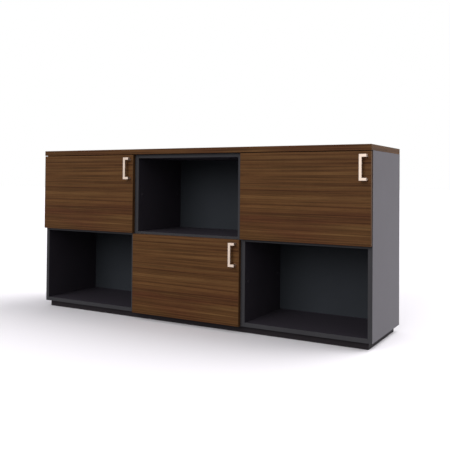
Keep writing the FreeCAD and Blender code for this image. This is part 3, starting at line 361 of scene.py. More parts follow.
def chipboard_core(name, decors):
    """Chipboard cut by a drill: pale chips in a darker glued ground, dry and rough."""
    tree = new_material(name)
    place = add_node(tree, "TexCoord").outputs["Object"]
    # Chips of the core are 1 to 3 mm across.
    chips = add_node(tree, "TexVoronoi", {"Vector": place, "Scale": 480.0})
    spread = add_node(tree, "SeparateColor", {"Color": chips.outputs["Color"]})
    base = add_node(tree, "Mix", {"Factor": spread, "A": decors.chipboard_glue, "B": decors.chipboard},
                    data_type="RGBA")
    bump = add_node(tree, "Bump", {
        "Height": chips.outputs["Distance"], "Strength": 0.6, "Distance": 0.3 * MM})
    shader = add_node(tree, "BsdfPrincipled", {
        "Base Color": base, "Roughness": 0.85, "IOR": 1.5, "Specular IOR Level": 0.2, "Normal": bump})
    add_node(tree, "OutputMaterial", {"Surface": shader})


def fluted_beech(name, decors):
    """Beech of the dowels, turned along the grain: pale, dry, with short dark flecks. The flutes
    aren't drawn, since the dowels lie inside the boards."""
    tree = new_material(name)
    place = add_node(tree, "TexCoord").outputs["Object"]
    # Rays of beech are 0.5 mm wide and 4 mm long.
    stretched = add_node(tree, "Mapping", {"Vector": place, "Scale": (250.0, 2000.0, 2000.0)})
    flecks = add_node(tree, "TexNoise", {"Vector": stretched, "Scale": 1.0, "Detail": 2.0})
    tone = add_node(tree, "ValToRGB", {"Fac": flecks}, stops=[
        (0.40, decors.beech), (0.62, decors.beech_fleck)])
    bump = add_node(tree, "Bump", {"Height": flecks, "Strength": 0.3, "Distance": 0.1 * MM})
    shader = add_node(tree, "BsdfPrincipled", {
        "Base Color": tone, "Roughness": 0.7, "IOR": 1.5, "Specular IOR Level": 0.3, "Normal": bump})
    add_node(tree, "OutputMaterial", {"Surface": shader})


def cast_polyurethane(name, decors):
    """Polyurethane, cast clear in small domes: glassy, with a faint haze from handling."""
    tree = new_material(name)
    place = add_node(tree, "TexCoord").outputs["Object"]
    # Smears of handling are about 1 mm across.
    haze = add_node(tree, "TexNoise", {"Vector": place, "Scale": 900.0, "Detail": 2.0})
    rough = add_node(tree, "MapRange", {"Value": haze, "To Min": 0.05, "To Max": 0.25})
    shader = add_node(tree, "BsdfPrincipled", {
        "Base Color": decors.clear, "Roughness": rough, "IOR": 1.5, "Transmission Weight": 0.8})
    add_node(tree, "OutputMaterial", {"Surface": shader})


def moulded_polypropylene(name, tint):
    """Polypropylene, moulded in a spark-eroded tool: a dull even colour with a leathery grain."""
    tree = new_material(name)
    place = add_node(tree, "TexCoord").outputs["Object"]
    # The tool's grain is 0.1 mm across, drawn 0.5 mm so that it shows.
    grit = add_node(tree, "TexNoise", {"Vector": place, "Scale": 2000.0, "Detail": 2.0})
    rough = add_node(tree, "MapRange", {"Value": grit, "To Min": 0.5, "To Max": 0.66})
    bump = add_node(tree, "Bump", {"Height": grit, "Strength": 0.4, "Distance": 0.03 * MM})
    shader = add_node(tree, "BsdfPrincipled", {
        "Base Color": tint, "Roughness": rough, "IOR": 1.49, "Specular IOR Level": 0.15,
        "Normal": bump})
    add_node(tree, "OutputMaterial", {"Surface": shader})


class CREDENZA_OT_decors(bpy.types.Operator):
    """Make the materials"""

    bl_idname = "credenza.decors"
    bl_label = "Decors"

    def execute(self, context):
        decors = context.scene.credenza_decors
        trims = context.scene.credenza_trims
        walnut_melamine("walnut_melamine", decors)
        pearl_melamine("graphite_melamine", decors, decors.graphite, trims)
        # The end panels' outer faces carry a paler grey, partly painted light from the right.
        pearl_melamine("end_panel_lit_melamine", decors, decors.graphite, trims, decors.end_painted_light_grey)
        pearl_melamine("graphite_back_melamine", decors, decors.graphite_back)
        pearl_melamine("black_melamine", decors, decors.plinth)
        # Pulls: die-cast zinc with a baked satin lacquer, warm and softly shiny. The lacquer's
        # orange peel is 1 mm across.
        metal("champagne_lacquered_zinc", decors.champagne, roughness=0.45, grain=1 * MM,
              strength=0.15)
        # Hinges: pressed steel, nickel plated, brighter on the pressed faces; press marks 0.6 mm
        # across.
        metal("nickel_plated_steel", decors.nickel, roughness=0.27, grain=0.6 * MM, strength=0.2)
        # Screws and brackets: steel, bright zinc plated, slightly bluish and cloudy.
        metal("zinc_plated_steel", decors.zinc, roughness=0.36, grain=0.5 * MM, strength=0.3)
        # Cams: zinc alloy as it leaves the die, grey and dull with a cast skin.
        metal("die_cast_zamak", decors.zamak, roughness=0.5, grain=0.8 * MM, strength=0.5)
        # Joining and worktop screws: steel, blackened in a hot oxide bath and oiled.
        metal("black_oxide_steel", decors.black_oxide, roughness=0.45, grain=0.5 * MM, strength=0.3)
        chipboard_core("chipboard_core", decors)
        fluted_beech("fluted_beech", decors)
        cast_polyurethane("cast_polyurethane", decors)
        moulded_polypropylene("graphite_polypropylene", decors.graphite)
        return {"FINISHED"}


# ---------------------------------------------------------------- solids

def block(low, high):
    """A box from its lowest to its highest corner."""
    shape = bmesh.new()
    bmesh.ops.create_cube(shape, size=1.0)
    for vertex in shape.verts:
        vertex.co = Vector([low[k] + (vertex.co[k] + 0.5) * (high[k] - low[k]) for k in range(3)])
    return shape


def turned(profile, segments=32, surface=0):
    """A solid turned round Z from points of radius and height, from axis to axis."""
    shape = bmesh.new()
    rings = []
    for radius, height in profile:
        angles = [math.tau * k / segments for k in range(segments if radius else 1)]
        rings.append([shape.verts.new((radius * math.cos(angle), radius * math.sin(angle), height))
                      for angle in angles])
    for ring, following in zip(rings, rings[1:]):
        for k in range(segments):
            corners = [ring[k % len(ring)], ring[(k + 1) % len(ring)],
                       following[(k + 1) % len(following)], following[k % len(following)]]
            face = shape.faces.new(list(dict.fromkeys(corners)))
            face.material_index = surface
    bmesh.ops.recalc_face_normals(shape, faces=shape.faces[:])
    return shape


def peg(radius, low, high, segments=32, surface=0):
    """A round peg from one height to another."""
    return turned([(0, low), (radius, low), (radius, high), (0, high)], segments, surface)


def prism(outline, low, high, taper=1.0):
    """An outline in X and Y, raised from one height to another, where it is taper times as large."""
    shape = bmesh.new()
    bottom = [shape.verts.new((x, y, low)) for x, y in outline]
    top = [shape.verts.new((x * taper, y * taper, high)) for x, y in outline]
    shape.faces.new(bottom)
    shape.faces.new(top)
    for k in range(len(outline)):
        after = (k + 1) % len(outline)
        shape.faces.new([bottom[k], bottom[after], top[after], top[k]])
    bmesh.ops.recalc_face_normals(shape, faces=shape.faces[:])
    return shape


def arc(centre, radius, start, end, steps=8):
    """Points on an arc, with its angles in degrees."""
    angles = [math.radians(start + (end - start) * k / steps) for k in range(steps + 1)]
    return [(centre[0] + radius * math.cos(angle), centre[1] + radius * math.sin(angle))
            for angle in angles]


def rounded_rectangle(low, high, radius):
    """The outline of a rectangle with round corners."""
    left, right, near, far = low[0] + radius, high[0] - radius, low[1] + radius, high[1] - radius
    corners = (((right, far), 0), ((left, far), 90), ((left, near), 180), ((right, near), 270))
    return [point for centre, start in corners for point in arc(centre, radius, start, start + 90, 5)]


def cross(slot, reach):
    """The outline of a cross whose arms are twice slot wide and end reach from the middle."""
    quarter = [(reach, slot), (slot, slot), (slot, reach)]
    mirrored = [(-x, y) for x, y in reversed(quarter)]
    return quarter + mirrored + [(-x, -y) for x, y in quarter + mirrored]


def scaled(profile, radius, height):
    """A profile in shares of a radius and of a height, brought to size."""
    return [(across * radius, up * height) for across, up in profile]


def edges_at(shape, axis, value):
    """The edges that lie in the plane at one value of X, Y or Z."""
    return [edge for edge in shape.edges
            if all(abs(vertex.co[axis] - value) < SAME_PLANE for vertex in edge.verts)]


def round_edges(shape, edges, radius, segments):
    """Rounds some edges of a solid."""
    bmesh.ops.bevel(shape, geom=edges, offset=radius, segments=segments, profile=0.5, affect="EDGES")


def stamp(shape, part, places):
    """Adds a solid to another shape, once at each place, and frees it."""
    for place in places:
        mesh = bpy.data.meshes.new("stamp")
        part.to_mesh(mesh)
        mesh.transform(place)
        shape.from_mesh(mesh)
        bpy.data.meshes.remove(mesh)
    part.free()


def combine(shape, other, operation="DIFFERENCE"):
    """Cuts one solid out of another, or joins the two; faces keep their material numbers."""
    holders = []
    for part in (shape, other):
        mesh = bpy.data.meshes.new("work")
        part.to_mesh(mesh)
        part.free()
        for _ in WALNUT_BOARD:  # room for every material number
            mesh.materials.append(None)
        holders.append(bpy.data.objects.new("work", mesh))
        bpy.context.scene.collection.objects.link(holders[-1])
    cut = holders[0].modifiers.new("cut", "BOOLEAN")
    cut.operation = operation
    cut.object = holders[1]
    cut.solver = "EXACT"
    cut.material_mode = "INDEX"
    bpy.context.view_layer.update()
    result = bmesh.new()
    result.from_object(holders[0], bpy.context.evaluated_depsgraph_get())
    for holder in holders:
        bpy.data.meshes.remove(holder.data)
    if not result.faces:
        raise RuntimeError("two solids gave no result")
    return result


def cut_at(shape, cutter, places):
    """Cuts the same solid out of a shape at several places."""
    cutters = bmesh.new()
    stamp(cutters, cutter, places)
    return combine(shape, cutters)


SHARP_ANGLE = math.radians(35)  # faces that meet at a larger angle keep a crisp edge


def new_piece(name, shape, body, materials, slot, *nodes):
    """A finished piece that stands for CAD nodes and moves with their body."""
    mesh = bpy.data.meshes.new(name)
    shape.to_mesh(mesh)
    shape.free()
    for material in materials:
        mesh.materials.append(bpy.data.materials[material])
    piece = bpy.data.objects.new(name, mesh)
    bpy.context.scene.collection.objects.link(piece)
    mesh.shade_smooth()
    mesh.set_sharp_from_angle(angle=SHARP_ANGLE)
    for polygon in mesh.polygons:
        if max(abs(part) for part in polygon.normal) > SQUARE:
            polygon.use_smooth = False
    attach(piece, body)
    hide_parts(*nodes)


def paint(node, name):
    """Gives a CAD node its material."""
    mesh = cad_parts[node].data
    mesh.materials.clear()
    mesh.materials.append(bpy.data.materials[name])


RIM_SLACK = 0.05 * MM  # corners this near to the full radius lie on the rim of a head


class RoundPart:
    """A round solid of a CAD node: its outer end, the way it points, and its sizes."""

    def __init__(self, corners):
        self.low = Vector([min(corner[k] for corner in corners) for k in range(3)])
        self.high = Vector([max(corner[k] for corner in corners) for k in range(3)])
        self.middle = (self.low + self.high) / 2
        size = self.high - self.low
        self.axis = max(range(3), key=lambda k: abs(size[k] - sum(size) / 3))
        self.length = size[self.axis]
        self.radius = max(size[k] for k in range(3) if k != self.axis) / 2
        widths = []
        for end in (self.low, self.high):
            ring = [corner for corner in corners
                    if abs(corner[self.axis] - end[self.axis]) < SAME_PLANE]
            widths.append(max(self.off_axis(corner) for corner in ring))
        headed_low = widths[0] > widths[1] - SAME_PLANE
        self.shank = min(widths)
        self.way = Vector([0, 0, 0])
        self.way[self.axis] = 1.0 if headed_low else -1.0
        self.end = self.middle - self.way * self.length / 2
        # The head is as long as the part keeps its full radius.
        self.head = max(abs(corner[self.axis] - self.end[self.axis]) for corner in corners
                        if self.off_axis(corner) > self.radius - RIM_SLACK)

    def off_axis(self, corner):
        """How far a corner is from the middle line."""
        return math.hypot(*(corner[k] - self.middle[k] for k in range(3) if k != self.axis))

    def matrix(self):
        """Takes a solid that starts at the origin and points up Z to this part's place."""
        return Matrix.Translation(self.end) @ self.way.to_track_quat("Z", "Y").to_matrix().to_4x4()


def round_parts(node):
    """The separate round solids of a CAD node."""
    shape = bmesh.new()
    shape.from_mesh(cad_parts[node].data)
    bmesh.ops.remove_doubles(shape, verts=shape.verts[:], dist=SAME_POINT)
    waiting = set(shape.verts)
    groups = []
    for seed in shape.verts:
        if seed not in waiting:
            continue
        waiting.discard(seed)
        group = [seed]
        for vertex in group:
            for edge in vertex.link_edges:
                other = edge.other_vert(vertex)
                if other in waiting:
                    waiting.discard(other)
                    group.append(other)
        groups.append([vertex.co.copy() for vertex in group])
    shape.free()
    return [RoundPart(group) for group in groups]


BORE_SPARE = 0.5 * MM     # how far a drill starts before its mouth, and goes past a hidden screw
THROUGH_SPARE = 2 * MM    # how far a drill goes out of the far side


def cut_bores(board, places, facing):
    """Cuts round bores into a board; each is its mouth, radius and depth, along the way it faces."""
    cutters = bmesh.new()
    turn = facing.to_track_quat("Z", "Y").to_matrix().to_4x4()
    for mouth, radius, depth in places:
        stamp(cutters, peg(radius, -BORE_SPARE, depth, 48, CORE), [Matrix.Translation(mouth) @ turn])
    return combine(board, cutters)


# ---------------------------------------------------------------- worktop and doors

PRINT_SHIFT = 3.2  # metres from the print on one face to that on the next, eight whole repeats


def banded_board(low, high, across, radius, trims):
    """A board with decor on the two faces across one axis and a band round its edges."""
    shape = block(low, high)
    round_edges(shape, shape.edges[:], radius, 3)
    faces = sorted((face for face in shape.faces if abs(face.normal[across]) > SQUARE),
                   key=lambda face: face.calc_area())[-2:]
    for face in faces:
        bmesh.ops.inset_individual(shape, faces=[face], thickness=trims.band - radius, depth=0.0)
        for depth in (-trims.seam_depth, trims.seam_depth):
            ring = bmesh.ops.inset_individual(shape, faces=[face], thickness=trims.seam / 2,
                                              depth=depth)
            for side in ring["faces"]:
                side.material_index = GLUE_LINE
        face.material_index = DECOR
    lay_grain(shape, low, high - low)
    return shape


def lay_grain(shape, low, size):
    """UVs in metres, with U along the longer side of each face of the board."""
    layer = shape.loops.layers.uv.new("grain")
    shape.normal_update()
    for face in shape.faces:
        facing = max(range(3), key=lambda k: abs(face.normal[k]))
        along, up = sorted((k for k in range(3) if k != facing), key=lambda k: -size[k])
        for loop in face.loops:
            place = loop.vert.co - low
            loop[layer].uv = (place[along], place[up] + PRINT_SHIFT * (facing + 1))


class CREDENZA_OT_worktop(bpy.types.Operator):
    """Finish the worktop in walnut melamine with a walnut edge band, bored for its screws"""

    bl_idname = "credenza.worktop"
    bl_label = "Worktop"

    def execute(self, context):
        trims = context.scene.credenza_trims
        hole = context.scene.credenza_fittings.screw_hole
        low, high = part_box("worktop")
        shape = banded_board(low, high, 2, trims.worktop_round, trims)
        bores = [(Vector((screw.middle.x, screw.middle.y, low.z)), hole,
                  screw.high.z - low.z + BORE_SPARE) for screw in round_parts("worktop_screws")]
        shape = cut_bores(shape, bores, Vector((0, 0, 1)))
        new_piece("worktop_board", shape, "carcass", WALNUT_BOARD, "walnut_board", "worktop")
        return {"FINISHED"}


class CREDENZA_OT_doors(bpy.types.Operator):
    """Finish the three doors in walnut melamine with walnut edge bands, bored for their fittings"""

    bl_idname = "credenza.doors"
    bl_label = "Doors"

    def execute(self, context):
        trims = context.scene.credenza_trims
        fittings = context.scene.credenza_fittings
        hole, inward = fittings.screw_hole, Vector((0, -1, 0))
        for module in MODULES:
            low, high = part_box(f"{module}_door")
            shape = banded_board(low, high, 1, trims.door_round, trims)
            # What each kind of fitting needs in the door's back: radius and depth of its bores.
            blind = (("hinge_cups", fittings.cup_bore, fittings.cup_bore_depth),
                     ("cup_screws", hole, fittings.pilot_depth),
                     ("handle_screws", fittings.sink, fittings.sink_depth))
            through = (("handle_screws", hole, high.y - low.y + THROUGH_SPARE),)
            for bores in (blind, through):
                places = [(Vector((part.middle.x, high.y, part.middle.z)), radius, depth)
                          for kind, radius, depth in bores for part in round_parts(f"{module}_{kind}")]
                shape = cut_bores(shape, places, inward)
            new_piece(f"{module}_door_panel", shape, f"{module}_door_leaf", WALNUT_BOARD,
                      "walnut_board", f"{module}_door")
        return {"FINISHED"}


# ---------------------------------------------------------------- pulls

# A screw's domed head, in shares of its radius and of its height.
PAN_HEAD = ((0, 0), (0.55, 0.04), (0.82, 0.2), (0.96, 0.5), (1, 0.8), (1, 1))
# The cross recess in it: half width and reach of its arms in radii, where it starts and ends in
# heights, and how much smaller it is at its end.
RECESS_SLOT, RECESS_REACH = 0.13, 0.62
RECESS_START, RECESS_END, RECESS_TAPER = -0.1, 0.7, 0.5
# The thread: its core in radii of the shank, and half of a ridge's foot in pitches.
THREAD_CORE, RIDGE_FOOT = 0.72, 0.35
# How far before the tip the thread ends and the point starts, in radii of the shank.
THREAD_END, POINT = 2.2, 1.6


def pan_head_screw(part, pitch):
    """A screw with a domed head, a cross recess, a ridged shank and a point, within the CAD solid."""
    head, radius, shank, core = part.head, part.radius, part.shank, THREAD_CORE * part.shank
    profile = scaled(PAN_HEAD, radius, head) + [(core, head)]
    place = head + pitch
    while place < part.length - THREAD_END * shank:
        foot = RIDGE_FOOT * pitch
        profile += [(core, place - foot), (shank, place), (core, place + foot)]
        place += pitch
    profile += [(core, part.length - POINT * shank), (0, part.length)]
    recess = prism(cross(RECESS_SLOT * radius, RECESS_REACH * radius), RECESS_START * head,
                   RECESS_END * head, RECESS_TAPER)
    return combine(turned(profile, segments=24), recess)


def set_of(node, make):
    """One shape with a copy of the same finished solid at each round part of a CAD node."""
    parts = round_parts(node)
    shape = bmesh.new()
    stamp(shape, make(parts[0]), [part.matrix() for part in parts])
    return shape


def set_screws(context, node, body, material="zinc_plated_steel", slot="zinc_screw"):
    """The screws of one CAD node."""
    pitch = context.scene.credenza_fittings.thread_pitch
    shape = set_of(node, lambda part: pan_head_screw(part, pitch))
    new_piece(f"{node}_threaded", shape, body, [material], slot, node)


class CREDENZA_OT_pulls(bpy.types.Operator):
    """Finish the square pulls and their screws"""

    bl_idname = "credenza.pulls"
    bl_label = "Pulls"

    def execute(self, context):
        fittings = context.scene.credenza_fittings
        for module in MODULES:
            shape = self.cast_pull(*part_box(f"{module}_door_handle"), fittings)
            new_piece(f"{module}_door_pull", shape, f"{module}_door_leaf",
                      ["champagne_lacquered_zinc"], "champagne_metal", f"{module}_door_handle")
            set_screws(context, f"{module}_handle_screws", f"{module}_door_leaf")
        return {"FINISHED"}

    @staticmethod
    def cast_pull(low, high, fittings):
        """A grip between two legs, each on a post; every edge is cast round but those on the door."""
        bar = fittings.bar
        columns = (low.x, low.x + bar, high.x - bar, high.x)
        rows = (low.z, low.z + bar, high.z - bar, high.z)
        depths = (low.y, low.y + fittings.plate, high.y)
        # The filled cells by column, depth and row: two legs, the grip between them and two posts.
        filled = ((0, 0, 0), (1, 0, 0), (2, 0, 0), (0, 0, 1), (0, 0, 2), (1, 0, 2), (2, 0, 2),
                  (2, 1, 0), (2, 1, 2))
        shape = bmesh.new()
        for column, depth, row in filled:
            cell = block((columns[column], depths[depth], rows[row]),
                         (columns[column + 1], depths[depth + 1], rows[row + 1]))
            stamp(shape, cell, [Matrix()])
        bmesh.ops.remove_doubles(shape, verts=shape.verts[:], dist=SAME_POINT)
        # Two faces with the same middle, to 0.01 mm, lie between two cells and go.
        middles = {}
        for face in shape.faces:
            middle = tuple(round(part, 5) for part in face.calc_center_median())
            middles.setdefault(middle, []).append(face)
        inner = [face for faces in middles.values() if len(faces) > 1 for face in faces]
        bmesh.ops.delete(shape, geom=inner, context="FACES")
        bmesh.ops.dissolve_limit(shape, angle_limit=math.radians(1), verts=shape.verts[:],
                                 edges=shape.edges[:])
        bmesh.ops.recalc_face_normals(shape, faces=shape.faces[:])
        on_door = set(edges_at(shape, 1, high.y))
        round_edges(shape, [edge for edge in shape.edges if edge not in on_door],
                    fittings.pull_round, 4)
        return shape


# ---------------------------------------------------------------- hinges

# The pockets of a hinge arm's two adjusting screws start here, just outside its outer face.
ADJUSTING_SCREWS = (in_mm(18.6, 24, 0), in_mm(15.8, 43, 0))
ADJUSTING_HEAD = (in_mm(0, 0), in_mm(2.6, 0.1), in_mm(3.2, 0.5), in_mm(3.3, 1.6), in_mm(0, 1.6))
# Turns of the hinge parts: Z of a cup points into the door; Z of a plate away from the side panel.
CUP_TURN = Matrix(((1, 0, 0), (0, 0, -1), (0, 1, 0))).to_4x4()
PLATE_TURN = Matrix(((0, 0, 1), (1, 0, 0), (0, 1, 0))).to_4x4()


class CREDENZA_OT_hinges(bpy.types.Operator):
    """Finish the concealed hinges: cups, links, pins, arms, plates and their screws"""

    bl_idname = "credenza.hinges"
    bl_label = "Hinges"

    def execute(self, context):
        fittings = context.scene.credenza_fittings
        for module in MODULES:
            leaf = f"{module}_door_leaf"
            cups = bmesh.new()
            stamp(cups, self.pressed_cup(fittings), [
                Matrix.Translation((cup.middle.x, cup.high.y, cup.middle.z)) @ CUP_TURN
                for cup in round_parts(f"{module}_hinge_cups")])
            new_piece(f"{module}_hinge_cup_set", cups, leaf, ["nickel_plated_steel"], "nickel_steel",
                      f"{module}_hinge_cups")
            set_screws(context, f"{module}_cup_screws", leaf)
            paint(f"{module}_cup_pins", "nickel_plated_steel")
            paint(f"{module}_hinge_links", "nickel_plated_steel")
        self.set_plates(fittings)
        self.set_arms()
        set_screws(context, "hinge_plate_screws", "carcass")
        paint("hinge_arm_pins", "nickel_plated_steel")
        return {"FINISHED"}

    @staticmethod
    def pressed_cup(fittings):
        """A cup sunk from Z = 0 upwards, with a flange on the +X side and two screw holes."""
        radius, depth, wall = fittings.cup_radius, fittings.cup_depth, fittings.cup_wall
        corner, bend, rim = in_mm(2, 1.5, 0.3)
        outside = [(0, 0), (radius, 0), (radius, depth - corner)]
        outside += arc((radius - corner, depth - corner), corner, 0, 90, 5)[1:]
        cup = turned(outside + [(0, depth)], segments=64)
        # The flange: radius of its four corners, their middles in X and Y, and its narrow waist.
        turn, near, far, row, waist = in_mm(6, 6, 11, 25, 14)
        wing = arc((far, row), turn, 0, 90) + arc((near, row), turn, 90, 180)
        wing += [(0, waist), (0, -waist)]
        wing += arc((near, -row), turn, 180, 270) + arc((far, -row), turn, 270, 360)
        plate = prism(wing, 0, fittings.flange)
        round_edges(plate, edges_at(plate, 2, 0), rim, 2)
        cup = combine(cup, plate, "UNION")
        # The hollow, whose mouth is a little wider.
        inner, floor = radius - wall, depth - wall
        spare, flare, flare_depth = in_mm(1, 0.3, 0.4)
        hollow = [(0, -spare), (inner + flare, -spare), (inner + flare, 0), (inner, flare_depth),
                  (inner, floor - bend)]
        hollow += arc((inner - bend, floor - bend), bend, 0, 90, 4)[1:]
        cup = combine(cup, turned(hollow + [(0, floor)], segments=64))
        screw_x, screw_y, through = in_mm(9.5, 22.5, 2)
        return cut_at(cup, peg(fittings.screw_hole, -spare, through),
                      [Matrix.Translation((screw_x, side * screw_y, 0)) for side in (-1, 1)])

    @staticmethod
    def set_plates(fittings):
        """Mounting plates with round ends, softened edges, a raised middle and two raised pads."""
        corner, inset, ridge_reach, ridge_corner = in_mm(4, 1.5, 11, 2)
        screw_place, pad_radius, softening, spare, through = in_mm(16, 4.6, 0.35, 1, 4)
        plates = bmesh.new()
        for plate in round_parts("hinge_mounting_plates"):
            low, high, middle = plate.low, plate.high, plate.middle
            height = high.x - low.x
            # The base takes 0.6 of the height; what rises above it starts inside, at 0.3.
            base = prism(rounded_rectangle((low.y, low.z), (high.y, high.z), corner), 0, 0.6 * height)
            ridge = rounded_rectangle((low.y + inset, middle.z - ridge_reach),
                                      (high.y - inset, middle.z + ridge_reach), ridge_corner)
            # 345 degrees in 23 steps give a disc with 24 corners.
            pads = [arc((middle.y, middle.z + side * screw_place), pad_radius, 0, 345, 23)
                    for side in (-1, 1)]
            raised = [prism(outline, 0.3 * height, height) for outline in (ridge, *pads)]
            for part in (base, *raised):
                top = max(vertex.co.z for vertex in part.verts)
                round_edges(part, edges_at(part, 2, top), softening, 2)
            for part in raised:
                base = combine(base, part, "UNION")
            base = cut_at(base, peg(fittings.screw_hole, -spare, through),
                          [Matrix.Translation((middle.y, middle.z + side * screw_place, 0))
                           for side in (-1, 1)])
            stamp(plates, base, [Matrix.Translation((low.x, 0, 0)) @ PLATE_TURN])
        new_piece("hinge_mounting_plate_set", plates, "carcass", ["nickel_plated_steel"],
                  "nickel_steel", "hinge_mounting_plates")

    @classmethod
    def set_arms(cls):
        """Arms folded from steel, with a slotted nose and two sunk adjusting screws."""
        arms = bmesh.new()
        parts = round_parts("hinge_arms")
        plate = 3 * MM
        stamp(arms, cls.folded_arm(parts[0].high.z - parts[0].low.z), [
            Matrix.Translation((part.low.x - plate, CARCASS_FRONT, part.middle.z)) for part in parts])
        new_piece("hinge_arm_set", arms, "carcass", ["nickel_plated_steel"], "nickel_steel",
                  "hinge_arms")

    @staticmethod
    def folded_arm(height):
        """An arm whose X counts from the side panel and Y from the front of the carcass."""
        nose, nose_radius = in_mm(16.2, 2.4), 2.9 * MM
        shoulder, heel = in_mm(19.1, 14), in_mm(13.2, 54)
        tail, tail_radius = in_mm(10, 60), 2 * MM
        foot_end, foot_start, throat = in_mm(3, 62), in_mm(3, 28), in_mm(13.3, 14)
        outline = arc(nose, nose_radius, 180, 360, 12) + [shoulder, heel]
        outline += arc(tail, tail_radius, 10, 90, 4) + [foot_end, foot_start, throat]
        arm = prism(outline, -height / 2, height / 2)
        # The two long edges from shoulder to heel are folded round.
        fold, side = 1.2 * MM, math.dist(shoulder, heel)
        folded = [edge for edge in arm.edges if abs(edge.calc_length() - side) < SAME_PLANE]
        round_edges(arm, folded, fold, 3)
        # The slit in the nose, in which the link turns.
        slit_low, slit_high = in_mm(13, -2, -6.3), in_mm(20, 5.9, 6.3)
        arm = combine(arm, block(slit_low, slit_high))
        into_arm = Vector((-1, 0, 0)).to_track_quat("Z", "Y").to_matrix().to_4x4()
        pocket_radius, pocket_depth, sunk = in_mm(3.6, 2.4, 0.9)
        slot, reach, start, end = in_mm(0.45, 2.1, -0.2, 1)
        for place in ADJUSTING_SCREWS:
            seat = Matrix.Translation(place) @ into_arm
            arm = cut_at(arm, peg(pocket_radius, 0, pocket_depth), [seat])
            recess = prism(cross(slot, reach), start, end, taper=0.6)
            head = combine(turned(ADJUSTING_HEAD, segments=24), recess)
            stamp(arm, head, [seat @ Matrix.Translation((0, 0, sunk))])
        return arm


# ---------------------------------------------------------------- fasteners and bumpers

# The outer face of a cam up to its chamfer, in shares of its radius and of the groove's depth.
CAM_FACE = ((0, 0), (0.62, 0), (0.66, 1), (0.74, 1), (0.78, 0), (0.95, 0))
# The cap of a joining bolt and a door bumper, in shares of radius and height.
BOLT_CAP = ((0, 0), (0.5, 0.05), (0.8, 0.2), (0.94, 0.5), (1, 0.85), (1, 1), (0, 1))
BUMPER = ((0, 0), (1, 0), (1, 0.2), (0.95, 0.5), (0.8, 0.78), (0.5, 0.95), (0, 1))


class CREDENZA_OT_fasteners(bpy.types.Operator):
    """Finish cams, bolts, dowels, joining screws, worktop screws and plinth brackets"""

    bl_idname = "credenza.fasteners"
    bl_label = "Fasteners"

    def execute(self, context):
        new_piece("cam_lock_set", set_of("cam_locks", self.cast_cam), "carcass", ["die_cast_zamak"],
                  "cam_zinc", "cam_locks")
        # The nuts' sleeves are 0.1 mm less in radius than the CAD's.
        for node, slack in (("joining_nuts", 0.1 * MM), ("joining_screws", 0.0)):
            shape = bmesh.new()
            for part in round_parts(node):
                stamp(shape, self.capped_bolt(part, slack), [part.matrix()])
            new_piece(f"{node}_capped", shape, "carcass",
                      ["graphite_polypropylene", "black_oxide_steel"], "black_bolt", node)
        set_screws(context, "worktop_screws", "carcass", "black_oxide_steel", "black_bolt")
        set_screws(context, "bracket_screws", "carcass")
        paint("plinth_brackets", "zinc_plated_steel")
        paint("cam_bolts", "zinc_plated_steel")
        paint("dowels", "fluted_beech")
        return {"FINISHED"}

    @staticmethod
    def cast_cam(part):
        """A die-cast drum with a chamfered rim, a groove and a cross slot for the driver."""
        radius, height = part.radius, part.length
        groove, chamfer, slot, reach, spare, depth = in_mm(0.3, 0.4, 0.6, 3.4, 0.5, 2.5)
        profile = scaled(CAM_FACE, radius, groove)
        face = profile[-1][0]
        profile += [(radius, chamfer), (radius, height - chamfer), (face, height), (0, height)]
        recess = prism(cross(slot, reach), -spare, depth, taper=0.7)
        return combine(turned(profile, segments=40), recess)

    @staticmethod
    def capped_bolt(part, slack):
        """A bolt whose head carries a domed plastic cap. Material 0 is the cap, 1 the bolt."""
        cap = turned(scaled(BOLT_CAP, part.radius, part.head), segments=40)
        start = 0.9 * part.head  # inside the cap
        shank = peg(part.shank - slack, start, part.length, segments=24, surface=1)
        stamp(cap, shank, [Matrix()])
        return cap


class CREDENZA_OT_bumpers(bpy.types.Operator):
    """Finish the clear door bumpers"""

    bl_idname = "credenza.bumpers"
    bl_label = "Bumpers"

    def execute(self, context):
        for module in MODULES:
            node = f"{module}_door_bumpers"
            new_piece(f"{module}_door_bumper_domes", set_of(node, self.dome), f"{module}_door_leaf",
                      ["cast_polyurethane"], "clear_bumper", node)
        return {"FINISHED"}

    @staticmethod
    def dome(part):
        """A low dome that sticks to the door with its flat side."""
        return turned(scaled(BUMPER, part.radius, part.length))


# ---------------------------------------------------------------- cabinets and plinth

class CREDENZA_OT_cabinets(bpy.types.Operator):
    """Finish the boards and backs of the three cabinets"""

    bl_idname = "credenza.cabinets"
    bl_label = "Cabinets"

    def execute(self, context):
        for module in MODULES:
            for board in BOARDS:
                decor = "graphite_back_melamine" if board == "back_panel" else "graphite_melamine"
                paint(f"{module}_cabinet_{board}", decor)
        # The end panels' material paints their outer faces paler, partly for the light that falls on
        # that side.
        paint("left_cabinet_left_side", "end_panel_lit_melamine")
        paint("right_cabinet_right_side", "end_panel_lit_melamine")
        return {"FINISHED"}


class CREDENZA_OT_plinth(bpy.types.Operator):
    """Finish the plinth"""

    bl_idname = "credenza.plinth"
    bl_label = "Plinth"

    def execute(self, context):
        for node in ("front_rail", "back_rail", "left_end", "right_end", "cross_rails"):
            paint(f"plinth_{node}", "black_melamine")
        return {"FINISHED"}


# ---------------------------------------------------------------- studio

FLOOR_RADIUS = 60.0  # metres
# The camera: place in metres, turns in radians, and focal length, width of the picture and height
# of its optical middle, all three in pixels.
CAMERA_PLACE = (1.65864, -2.70406, 0.67797)
YAW, PITCH, ROLL = 0.5212, -0.0164, 0.0082
FOCAL, SIDE, PRINCIPAL_Y = 635.66, 450, 171.30


class CREDENZA_OT_studio(bpy.types.Operator):
    """Lay the pale floor, light it plainly and set up the camera"""

    bl_idname = "credenza.studio"
    bl_label = "Studio"

    def execute(self, context):
        studio = context.scene.credenza_studio
        lay_floor(studio)
        light_studio(context.scene, studio)
        context.scene.camera = make_camera()
        context.scene.view_settings.view_transform = "Standard"
        return {"FINISHED"}


